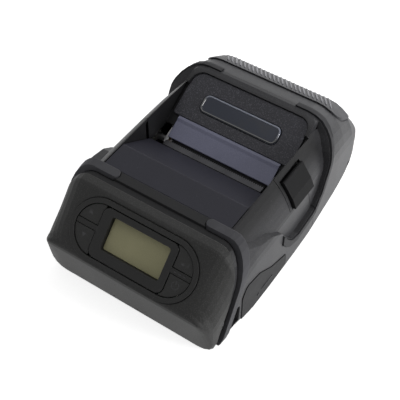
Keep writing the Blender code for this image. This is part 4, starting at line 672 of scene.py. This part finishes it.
def hood_band_painted_light(shader):
    """Painted light: a lighter band across the hood, where light from behind falls on it."""
    _, y, z = shader.axes()
    band = shader.soften(y, *HOOD_BAND_FRONT) * (1 - shader.soften(y, *HOOD_BAND_REAR))
    return band * shader.soften(z, *HOOD_BAND_FOOT) * HOOD_BAND_LIGHT_SHARE, HOOD_BAND_LIGHT_TONE


def painted_pod_shade(shader):
    """Painted shade: a darker tone on the inner tops of the pods and on the walls of the channel."""
    x, y, z = shader.axes()
    inner = 1 - shader.soften(shader.sum("ABSOLUTE", x), *POD_INNER_EDGE)
    return inner * shader.soften(z, *POD_FOOT) * (1 - shader.soften(y, *POD_REAR)) * POD_SHADE_SHARE, POD_SHADE_TONE


def rubber_finish(name, tone, grain):
    """Soft rubber: matt, with a powdery bloom and fine pores."""
    shader = Shader(name)
    bloom = shader.noise(BLOOM_SCALE, detail=4.0)
    normal, turned = shader.edges(SMALL_EDGE)
    base = shader.blend(shader.soften(bloom, *BLOOM_SPAN) * BLOOM_SHARE, tone, toned(tone, BLOOM_TONE))
    base = shader.blend(turned * RUBBED_SHARE, base, toned(tone, RUBBED_TONE))
    relief = shader.bump(shader.cells(1 / grain), grain * PORE_DEPTH_SHARE, strength=0.5, normal=normal)
    return shader.finish(Base_Color=base, Roughness=RUBBER_ROUGHNESS + (bloom - 0.5) * BLOOM_GLOSS,
                         Specular_IOR_Level=SHINE, Normal=relief)


def metal_finish(name, tone, rough, run=(1, 1, 1)):
    """Metal with drawn lines along one direction."""
    shader = Shader(name)
    lines = shader.noise(LINE_SCALE, detail=3.0, rough=0.6, place=shader.stretched(run))
    stain = shader.noise(STAIN_SCALE, detail=3.0)
    normal, turned = shader.edges(FINE_EDGE)
    base = shader.blend(shader.soften(stain, *STAIN_SPAN), toned(tone, STAIN_LOW_TONE),
                        toned(tone, STAIN_HIGH_TONE))
    return shader.finish(Base_Color=base, Metallic=1.0,
                         Roughness=rough + (lines - 0.5) * LINE_GLOSS + turned * TURNED_GLOSS,
                         Normal=shader.bump(lines, LINE_DEPTH, strength=0.5, normal=normal))


def smoked_finish():
    """Glossy smoked plastic with faint hairlines."""
    shader = Shader("smoked_plastic")
    haze = shader.noise(HAZE_SCALE, detail=3.0)
    hairs = shader.noise(HAIR_SCALE, place=shader.stretched(HAIR_STRETCH))
    cloud = shader.soften(shader.noise(SMOKE_SCALE), *SMOKE_SPAN)
    base = shader.blend(cloud, SMOKE_COOL, SMOKE_WARM)
    return shader.finish(Base_Color=base, Roughness=SMOKE_ROUGHNESS + haze * SMOKE_GLOSS,
                         Specular_IOR_Level=SHINE, Normal=shader.bump(hairs, HAIR_DEPTH, strength=0.4))


def rim_finish():
    """Polished clear edge of the window, with a painted highlight along its upper side and painted shade
    along its lower side.
    """
    shader = Shader("polished_rim_painted_light")
    x, y, _ = shader.axes()
    haze = shader.noise(RIM_HAZE_SCALE)
    # Painted highlight towards the upper side of the rim, painted shade towards the lower side
    upper = shader.soften(y + x * RIM_LEAN, *RIM_LIT_SPAN)
    lit = shader.blend(shader.soften(haze, *RIM_HAZE_SPAN) * RIM_HAZE_SHARE, RIM_HIGHLIGHT_COOL, RIM_HIGHLIGHT_BRIGHT)
    base = shader.blend(upper, RIM_SHADE_DARK, lit)
    return shader.finish(Base_Color=base, Roughness=RIM_ROUGHNESS + haze * RIM_GLOSS, Coat_Weight=RIM_COAT,
                         Coat_Roughness=RIM_COAT_ROUGHNESS)


def display_finish(tone):
    """Olive display under its lens, with the faint grid of its dots."""
    shader = Shader("display_lens")
    x, y, z = shader.axes()
    columns = shader.repeated(x, DOT_PITCH, DOT_EDGE)
    rows = shader.repeated(z + y, DOT_PITCH * DOT_RISE, DOT_EDGE)
    clouds = shader.noise(LENS_SCALE)
    base = shader.blend(shader.soften(clouds, *LENS_SPAN), toned(tone, LENS_LOW_TONE),
                        toned(tone, LENS_HIGH_TONE))
    base = shader.blend(shader.sum("MAXIMUM", columns, rows) * DOT_SHARE, base, toned(tone, DOT_TONE))
    fine = shader.soften(shader.noise(LENS_GRAIN_SCALE), *LENS_GRAIN_SPAN)
    base = shader.blend(fine * LENS_GRAIN_SHARE, base, toned(tone, LENS_GRAIN_TONE))
    return shader.finish(Base_Color=base, Roughness=LENS_ROUGHNESS + clouds * LENS_GLOSS,
                         Specular_IOR_Level=SHINE)


def board_finish():
    """Circuit board: solder mask with tracks and tinned pads."""
    shader = Shader("solder_mask")
    x, y, z = shader.axes()
    tracks = shader.repeated(x, TRACK_PITCH, TRACK_EDGE)
    crossing = shader.repeated(y + z, CROSSING_PITCH, CROSSING_EDGE)
    gate = shader.noise(TRACK_GATE_SCALE, detail=0.0) > 0.5
    copper = shader.sum("MAXIMUM", tracks * gate, crossing * (1 - gate))
    pads = shader.cells(PAD_SCALE) < PAD_SIZE
    base = shader.blend(copper, MASK_GREEN, TRACK_GREEN)
    base = shader.blend(pads, base, TIN)
    return shader.finish(Base_Color=base, Metallic=pads * PAD_METAL,
                         Roughness=BOARD_ROUGHNESS - pads * PAD_GLOSS,
                         Normal=shader.bump(copper + pads, BOARD_RELIEF, strength=0.6))


def ink_finish():
    """Printed ink, slightly uneven."""
    shader = Shader("key_ink")
    spread = shader.noise(INK_SCALE)
    base = shader.blend(shader.soften(spread, *INK_SPAN), INK, toned(INK, INK_TONE))
    return shader.finish(Base_Color=base, Roughness=INK_ROUGHNESS + spread * INK_GLOSS,
                         Normal=shader.bump(spread, INK_DEPTH, strength=0.5))


class PRINTER_OT_shell(Operator):
    """Moulded, rubber and steel finishes of the outer shell"""
    bl_idname = "printer.shell_finishes"
    bl_label = "Finish the shell"

    def execute(self, context):
        tones = context.scene.printer_finishes
        grain, edge = tones.grain, tones.edge
        # Painted shade on the inner tops of the pods comes in through the zones of these two finishes
        dress(("base_tray", "battery_door", "front_case"),
              moulded("charcoal_shell", tones.shell, rough=0.46, grain=grain, rise=0.55, edge=edge, wear=0.25,
                      specks=0.15, zones=(painted_pod_shade,)))
        # Painted light on the hood's band comes in through this finish's zones
        dress(("rear_cover",),
              moulded("hood_shell", tones.shell, rough=0.44, grain=grain, edge=edge, wear=0.3, specks=0.15,
                      zones=(hood_band_painted_light, painted_pod_shade)))
        # Painted light: the grip's tone is raised for the light from behind
        dress(("rear_grip",),
              moulded("grip_shell_painted_light", toned(tones.shell, GRIP_LIGHT_TONE), rough=0.5, grain=grain, rise=0.6,
                      edge=edge, wear=0.25))
        dress(("release_button",),
              moulded("button_plastic", toned(tones.shell, BUTTON_TONE), rough=0.55, grain=grain, edge=edge,
                      shine=BUTTON_SHINE))
        dress(("front_fascia",),
              moulded("warm_cap", tones.cap, rough=0.52, grain=grain, rise=0.6, edge=edge, wear=0.3,
                      specks=0.2))
        dress(("deck_cover",),
              moulded("deck_black", tones.deck, rough=0.42, grain=grain * DECK_GRAIN, rise=0.3, edge=edge,
                      wear=0.2, specks=0.08))
        dress(("cover_plate",),
              moulded("sparkle_grey", tones.plate, rough=0.5, grain=grain * PLATE_GRAIN, rise=0.7, edge=edge,
                      wear=0.3, specks=0.5))
        dress(("exit_bar",),
              moulded("exit_satin", tones.strip, rough=0.36, grain=grain * EXIT_GRAIN, rise=0.2,
                      edge=SMALL_EDGE, wear=0.3, specks=0.05, coat=0.2))
        dress(("rear_bumper_left", "rear_bumper_right", "side_trim_left", "side_trim_right"),
              rubber_finish("bumper_rubber", tones.rubber, grain))
        # Painted light: a lighter copy of the bumper rubber for the front bumpers
        dress(("front_bumper_left", "front_bumper_right"),
              rubber_finish("front_bumper_rubber_painted_light", toned(tones.rubber, FRONT_BUMPER_LIGHT_TONE), grain))
        dress(("port_cover",),
              rubber_finish("flap_rubber", toned(tones.shell, FLAP_TONE), grain * FLAP_GRAIN))
        dress(("cover_window",), smoked_finish())
        dress(("hinge_pin", "strap_bar_left", "strap_bar_right"),
              metal_finish("drawn_steel", STEEL, rough=0.30, run=(0.1, 1, 1)))
        return {'FINISHED'}


class PRINTER_OT_controls(Operator):
    """Finishes of the ring, the keys and the display"""
    bl_idname = "printer.control_finishes"
    bl_label = "Finish the keys and the display"

    def execute(self, context):
        tones = context.scene.printer_finishes
        grain = tones.grain
        dress(("keypad_ring",),
              moulded("ring_plastic", toned(tones.cap, RING_TONE), rough=0.46, grain=grain, rise=0.4,
                      edge=RING_EDGE, wear=0.5))
        dress(("display_bezel",),
              moulded("bezel_plastic", toned(tones.cap, BEZEL_TONE), rough=0.40, grain=grain * BEZEL_GRAIN,
                      rise=0.3, edge=RING_EDGE, wear=0.5))
        dress(("key_up", "key_feed", "key_enter", "key_power"),
              moulded("key_rubber", toned(tones.cap, KEY_TONE), rough=0.58, grain=grain, edge=SMALL_EDGE,
                      wear=0.3))
        dress(("lcd_window", "lcd_panel"), display_finish(tones.display))
        dress(("key_board", "main_board", "port_board"), board_finish())
        return {'FINISHED'}


class PRINTER_OT_mechanism(Operator):
    """Finishes of the paper path, the drive and the inner pieces"""
    bl_idname = "printer.mechanism_finishes"
    bl_label = "Finish the mechanism"

    def execute(self, context):
        grain = context.scene.printer_finishes.grain
        dress(("platen_shaft", "platen_bracket", "mechanism_frame", "idler_pin", "latch_pin", "latch_hook",
               "latch_catch", "motor_pinion", "head_spring_left", "head_spring_right", "button_spring",
               "board_screw_left", "board_screw_right"),
              metal_finish("bracket_steel", BRACKET_STEEL, rough=0.32, run=(0.12, 1, 1)))
        dress(("tear_bar",), metal_finish("tear_steel", TEAR_STEEL, rough=0.30, run=(1, 0.1, 0.1)))
        dress(("bush_left", "bush_right"), metal_finish("sintered_bronze", BRONZE, rough=0.42))
        dress(("head_heat_sink", "usb_socket"), metal_finish("cast_aluminium", ALUMINIUM, rough=0.38))
        dress(("platen_roller",), rubber_finish("platen_rubber", PLATEN_BLACK, grain * PLATEN_GRAIN))
        dress(("platen_gear", "idler_gear"),
              moulded("gear_nylon", NYLON, rough=0.42, grain=grain, rise=0.2, edge=FINE_EDGE))
        dress(("print_head",),
              moulded("glazed_ceramic", CERAMIC, rough=0.18, grain=grain, rise=0.1, edge=FINE_EDGE))
        dress(("paper_cradle", "paper_sensor", "serial_socket", "dc_jack"),
              moulded("inner_black", INNER_BLACK, rough=0.48, grain=grain, edge=SMALL_EDGE))
        dress(("stepper_motor",), metal_finish("motor_can", MOTOR_CAN, rough=0.36, run=(1, 0.2, 0.2)))
        dress(("battery_pack",),
              moulded("battery_case", BATTERY_BLUE, rough=0.5, grain=grain, edge=BATTERY_EDGE))
        return {'FINISHED'}


def cast(tree, spot, way, what):
    """Point and normal where a ray meets a surface, which it has to."""
    hit, normal, _, _ = tree.ray_cast(spot, way)
    if hit is None:
        raise RuntimeError(f"a ray misses the surface under the {what}")
    return hit, normal


def rib_end(share):
    """Share of the full width that a rib has at a share of its length, with round ends."""
    near = min(share, 1 - share) / RIB_END_SHARE
    return max(math.sqrt(1 - (1 - near) ** 2), RIB_TIP_SHARE) if near < 1 else 1


class PRINTER_OT_grip_ribs(Operator):
    """Slanted ribs over the finger grip on the hood's back"""
    bl_idname = "printer.grip_ribs"
    bl_label = "Add the grip ribs"

    def execute(self, context):
        sizes = context.scene.printer_details
        tones = context.scene.printer_finishes
        tree = surface_tree("rear_grip")
        low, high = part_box("rear_grip")
        start, end = low.y + RIB_FRONT_MARGIN, high.y - RIB_REAR_MARGIN
        bm = bmesh.new()
        for rib in range(sizes.rib_count):
            middle = (rib - (sizes.rib_count - 1) / 2) * sizes.rib_pitch
            rings = []
            for step in range(RIB_STEPS + 1):
                share = step / RIB_STEPS
                y = start + (end - start) * share
                x = middle - (y - (start + end) / 2) * RIB_LEAN
                width = sizes.rib_width * rib_end(share)
                ring = []
                for across, rise in RIB_SECTION_SHARES:
                    spot = Vector((x + across * width, y, high.z + RAY_REACH))
                    hit, normal = cast(tree, spot, Vector((0, 0, -1)), "grip ribs")
                    ring.append(bm.verts.new(hit + normal * (rise * sizes.rib_rise)))
                rings.append(ring)
            for one, two in zip(rings, rings[1:]):
                bridge(bm, one, two)
            bm.faces.new(rings[0])
            bm.faces.new(rings[-1])
        ribs = new_mesh("grip_ribs", bm)
        # Painted light: the ribs' tone is raised for the light from behind
        material = moulded("rib_plastic_painted_light", toned(tones.shell, RIB_LIGHT_TONE), rough=0.42, grain=tones.grain,
                           rise=0.4)
        finished(ribs, material, "cover")
        return {'FINISHED'}


class PRINTER_OT_window_rim(Operator):
    """Polished bevelled rim round the cover's window"""
    bl_idname = "printer.window_rim"
    bl_label = "Add the window rim"

    def execute(self, context):
        width = context.scene.printer_details.rim_width
        low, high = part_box("cover_window")
        to_plate = PLATE.inverted()
        along = [(to_plate @ vert.co).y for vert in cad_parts["cover_window"].data.vertices]
        bottom, top = min(along), max(along)
        centre = (0, (bottom + top) / 2)
        section = ((0.0, -RIM_SINK), (RIM_LIP, RIM_LIP), (RIM_SHOULDER_SHARE * width, RIM_SHOULDER),
                   (RIM_CREST_SHARE * width, RIM_CREST), (width, RIM_SHOULDER),
                   (RIM_INNER_SHARE * width, RIM_LIP))
        rings = []
        for inset, height in section:
            outline = rounded_box(high.x - low.x - inset * 2, top - bottom - inset * 2, WINDOW_CORNER - inset,
                                  centre, RIM_CORNER_STEPS)
            rings.append([(x, y, height) for x, y in outline])
        rim = lofted("window_rim", rings, PLATE, caps=False)
        finished(rim, rim_finish(), "cover")
        return {'FINISHED'}


def key_mark(name, outlines, body, ink, rise):
    """Flat printed marks on a key."""
    parts = [plate_piece(name, outline, MARK_FOOT, KEY_TOP + rise, FACE) for outline in outlines]
    finished(joined(name, parts), ink, body, smooth=False)


def stroke(points):
    """Outline of a stroke of even width through points."""
    left, right = [], []
    last = len(points) - 1
    for index, point in enumerate(points):
        along = Vector(points[min(index + 1, last)]) - Vector(points[max(index - 1, 0)])
        along.normalize()
        across = Vector((-along.y, along.x)) * (STROKE / 2)
        left.append(tuple(Vector(point) + across))
        right.append(tuple(Vector(point) - across))
    return left + right[::-1]


def arrow(centre, way):
    """Triangle that points up the face where way is 1, and down where it is -1."""
    x, y = centre
    return [(x - ARROW_HALF, y - ARROW_BACK * way), (x + ARROW_HALF, y - ARROW_BACK * way),
            (x, y + ARROW_TIP * way)]


def enter_sign():
    """Stroke down and to the left, and the head of its arrow."""
    x, y = ENTER_MARK
    line = y - ENTER_DROP
    shaft = stroke([(x + ENTER_STEM, y + ENTER_TOP), (x + ENTER_STEM, line), (x - ENTER_NECK, line)])
    head = [(x - ENTER_TIP, line), (x - ENTER_NECK, line + ENTER_HEAD_HALF),
            (x - ENTER_NECK, line - ENTER_HEAD_HALF)]
    return shaft, head


def power_sign():
    """Open circle and the bar in its gap."""
    x, y = POWER_MARK
    last = 360 - POWER_GAP_DEGREES
    turns = [math.radians(turn) for turn in range(POWER_GAP_DEGREES, last + 1, POWER_STEP_DEGREES)]
    arc = stroke([(x + POWER_RADIUS * math.sin(turn), y + POWER_RADIUS * math.cos(turn)) for turn in turns])
    return arc, stroke([(x, y + POWER_BAR_FOOT), (x, y + POWER_BAR_TOP)])


class PRINTER_OT_key_marks(Operator):
    """Arrows, the power sign and the dashes of the key panel"""
    bl_idname = "printer.key_marks"
    bl_label = "Add the key marks"

    def execute(self, context):
        rise = context.scene.printer_details.mark_rise
        ink = ink_finish()
        key_mark("up_mark", (arrow(UP_MARK, 1),), "up_key", ink, rise)
        key_mark("down_mark", (arrow(DOWN_MARK, -1),), "feed_key", ink, rise)
        key_mark("enter_mark", enter_sign(), "enter_key", ink, rise)
        key_mark("power_mark", power_sign(), "power_key", ink, rise)
        dashes = []
        for index in range(DASH_COUNT):
            outline = rounded_box(DASH_LENGTH, DASH_WIDTH, DASH_CORNER,
                                  (DASH_START + index * DASH_PITCH, DASH_HEIGHT), DASH_CORNER_STEPS)
            dashes.append(plate_piece("dash", outline, DASH_FOOT, BAR_TOP + rise, FACE))
        finished(joined("bar_dashes", dashes), ink, "printer", smooth=False)
        return {'FINISHED'}


class PRINTER_OT_flap_marks(Operator):
    """Raised dot and line on the port flap"""
    bl_idname = "printer.flap_marks"
    bl_label = "Add the flap marks"

    def execute(self, context):
        tones = context.scene.printer_finishes
        tree = surface_tree("port_cover")
        outside = CAD_BOX[1].x + RAY_REACH
        bm = bmesh.new()
        for y, z, half_long, half_wide in (FLAP_DOT, FLAP_LINE):
            rings = []
            for grow, rise in FLAP_MARK_SECTION:
                ring = []
                for index in range(FLAP_MARK_STEPS):
                    angle = 2 * math.pi * index / FLAP_MARK_STEPS
                    end = math.copysign(half_long - half_wide, math.cos(angle))
                    spot = Vector((outside, y + end + half_wide * grow * math.cos(angle),
                                   z + half_wide * grow * math.sin(angle)))
                    hit, normal = cast(tree, spot, Vector((-1, 0, 0)), "flap marks")
                    ring.append(bm.verts.new(hit + normal * rise))
                rings.append(ring)
            for one, two in zip(rings, rings[1:]):
                bridge(bm, one, two)
            bm.faces.new(rings[-1])
            bm.faces.new(rings[0])
        marks = new_mesh("flap_marks", bm)
        material = rubber_finish("flap_mark_rubber", toned(tones.shell, FLAP_MARK_TONE), tones.grain)
        finished(marks, material, "flap")
        return {'FINISHED'}


def area_lamp(name, place, target, size, power):
    """Soft rectangular lamp."""
    lamp = bpy.data.lights.new(name, 'AREA')
    lamp.shape = 'RECTANGLE'
    lamp.size, lamp.size_y = size
    lamp.energy = power
    item = bpy.data.objects.new(name, lamp)
    bpy.context.scene.collection.objects.link(item)
    item.location = place
    item.rotation_euler = (Vector(target) - Vector(place)).to_track_quat('-Z', 'Y').to_euler()
    return item


def stage_world(strength):
    """White world for the eye and for gloss, and an even fill for the rest."""
    world = bpy.data.worlds.new("studio")
    bpy.context.scene.world = world
    world.use_nodes = True
    nodes = Nodes(world.node_tree)
    fill = nodes.node('ShaderNodeBackground', Color=WHITE, Strength=strength)
    white = nodes.node('ShaderNodeBackground', Color=WHITE, Strength=1.0)
    mixed = nodes.node('ShaderNodeMixShader', i0=nodes.seen(), i1=fill, i2=white)
    nodes.node('ShaderNodeOutputWorld', Surface=mixed)


def floor_finish():
    """Pale floor: white to the rays that show it, with the object's shadow left in it."""
    material = bpy.data.materials.new("pale_floor")
    material.use_nodes = True
    nodes = Nodes(material.node_tree)
    surface = nodes.node('ShaderNodeBsdfPrincipled', Base_Color=FLOOR_TONE, Roughness=FLOOR_ROUGHNESS,
                         Specular_IOR_Level=FLOOR_SHINE)
    glow = nodes.node('ShaderNodeEmission', Strength=FLOOR_GLOW)
    both = nodes.node('ShaderNodeAddShader', i0=surface, i1=glow)
    mixed = nodes.node('ShaderNodeMixShader', i0=nodes.seen(), i1=surface, i2=both)
    nodes.node('ShaderNodeOutputMaterial', Surface=mixed)
    return material


class PRINTER_OT_stage(Operator):
    """Pale floor, soft lamps and the camera"""
    bl_idname = "printer.stage"
    bl_label = "Set the stage"

    def execute(self, context):
        settings = context.scene.printer_stage
        stage_world(settings.fill)
        bm = bmesh.new()
        bmesh.ops.create_grid(bm, x_segments=2, y_segments=2, size=FLOOR_HALF)
        floor = new_mesh("floor", bm)
        floor.location.z = CAD_BOX[0].z - FLOOR_DROP
        floor.data.materials.append(floor_finish())
        area_lamp("key_lamp", KEY_LAMP_PLACE, PRINTER_MIDDLE, KEY_LAMP_SIZE, settings.key)
        area_lamp("side_lamp", SIDE_LAMP_PLACE, PRINTER_MIDDLE, SIDE_LAMP_SIZE, settings.side)
        area_lamp("back_lamp", BACK_LAMP_PLACE, COVER_MIDDLE, BACK_LAMP_SIZE, settings.back)
        camera = bpy.data.cameras.new("camera")
        camera.sensor_width = CAMERA_SENSOR
        camera.lens = settings.lens
        camera.clip_start, camera.clip_end = CAMERA_NEAR, CAMERA_FAR
        item = bpy.data.objects.new("camera", camera)
        context.scene.collection.objects.link(item)
        level = math.cos(settings.elevation)
        back = Vector((math.sin(settings.azimuth) * level, -math.cos(settings.azimuth) * level,
                       math.sin(settings.elevation)))
        item.location = CAMERA_PLACE
        item.rotation_euler = (-back).to_track_quat('-Z', 'Y').to_euler()
        context.scene.camera = item
        context.scene.view_settings.view_transform = 'Standard'
        return {'FINISHED'}


class PRINTER_PT_sidebar(Panel):
    """Steps that dress the printer, in order"""
    bl_label = "Receipt printer"
    bl_idname = "PRINTER_PT_sidebar"
    bl_space_type = 'VIEW_3D'
    bl_region_type = 'UI'
    bl_category = "Printer"

    def draw(self, context):
        scene = context.scene
        for step in STEPS:
            self.layout.operator(step.bl_idname)
        for group in (scene.printer_finishes, scene.printer_details, scene.printer_stage):
            box = self.layout.box()
            for key in group.__annotations__:
                box.prop(group, key)


STEPS = (PRINTER_OT_shell, PRINTER_OT_controls, PRINTER_OT_mechanism, PRINTER_OT_grip_ribs,
         PRINTER_OT_window_rim, PRINTER_OT_key_marks, PRINTER_OT_flap_marks, PRINTER_OT_stage)
CLASSES = (PrinterFinishes, PrinterDetails, PrinterStage, *STEPS, PRINTER_PT_sidebar)


def register():
    """Register the classes and the scene's settings."""
    for item in CLASSES:
        bpy.utils.register_class(item)
    bpy.types.Scene.printer_finishes = PointerProperty(type=PrinterFinishes)
    bpy.types.Scene.printer_details = PointerProperty(type=PrinterDetails)
    bpy.types.Scene.printer_stage = PointerProperty(type=PrinterStage)


def unregister():
    """Take the settings and the classes away again."""
    del bpy.types.Scene.printer_finishes
    del bpy.types.Scene.printer_details
    del bpy.types.Scene.printer_stage
    for item in reversed(CLASSES):
        bpy.utils.unregister_class(item)


def main():
    """Dress the printer step by step."""
    register()
    bpy.ops.printer.shell_finishes()
    bpy.ops.printer.control_finishes()
    bpy.ops.printer.mechanism_finishes()
    bpy.ops.printer.grip_ribs()
    bpy.ops.printer.window_rim()
    bpy.ops.printer.key_marks()
    bpy.ops.printer.flap_marks()
    bpy.ops.printer.stage()


if __name__ == "__main__":
    main()
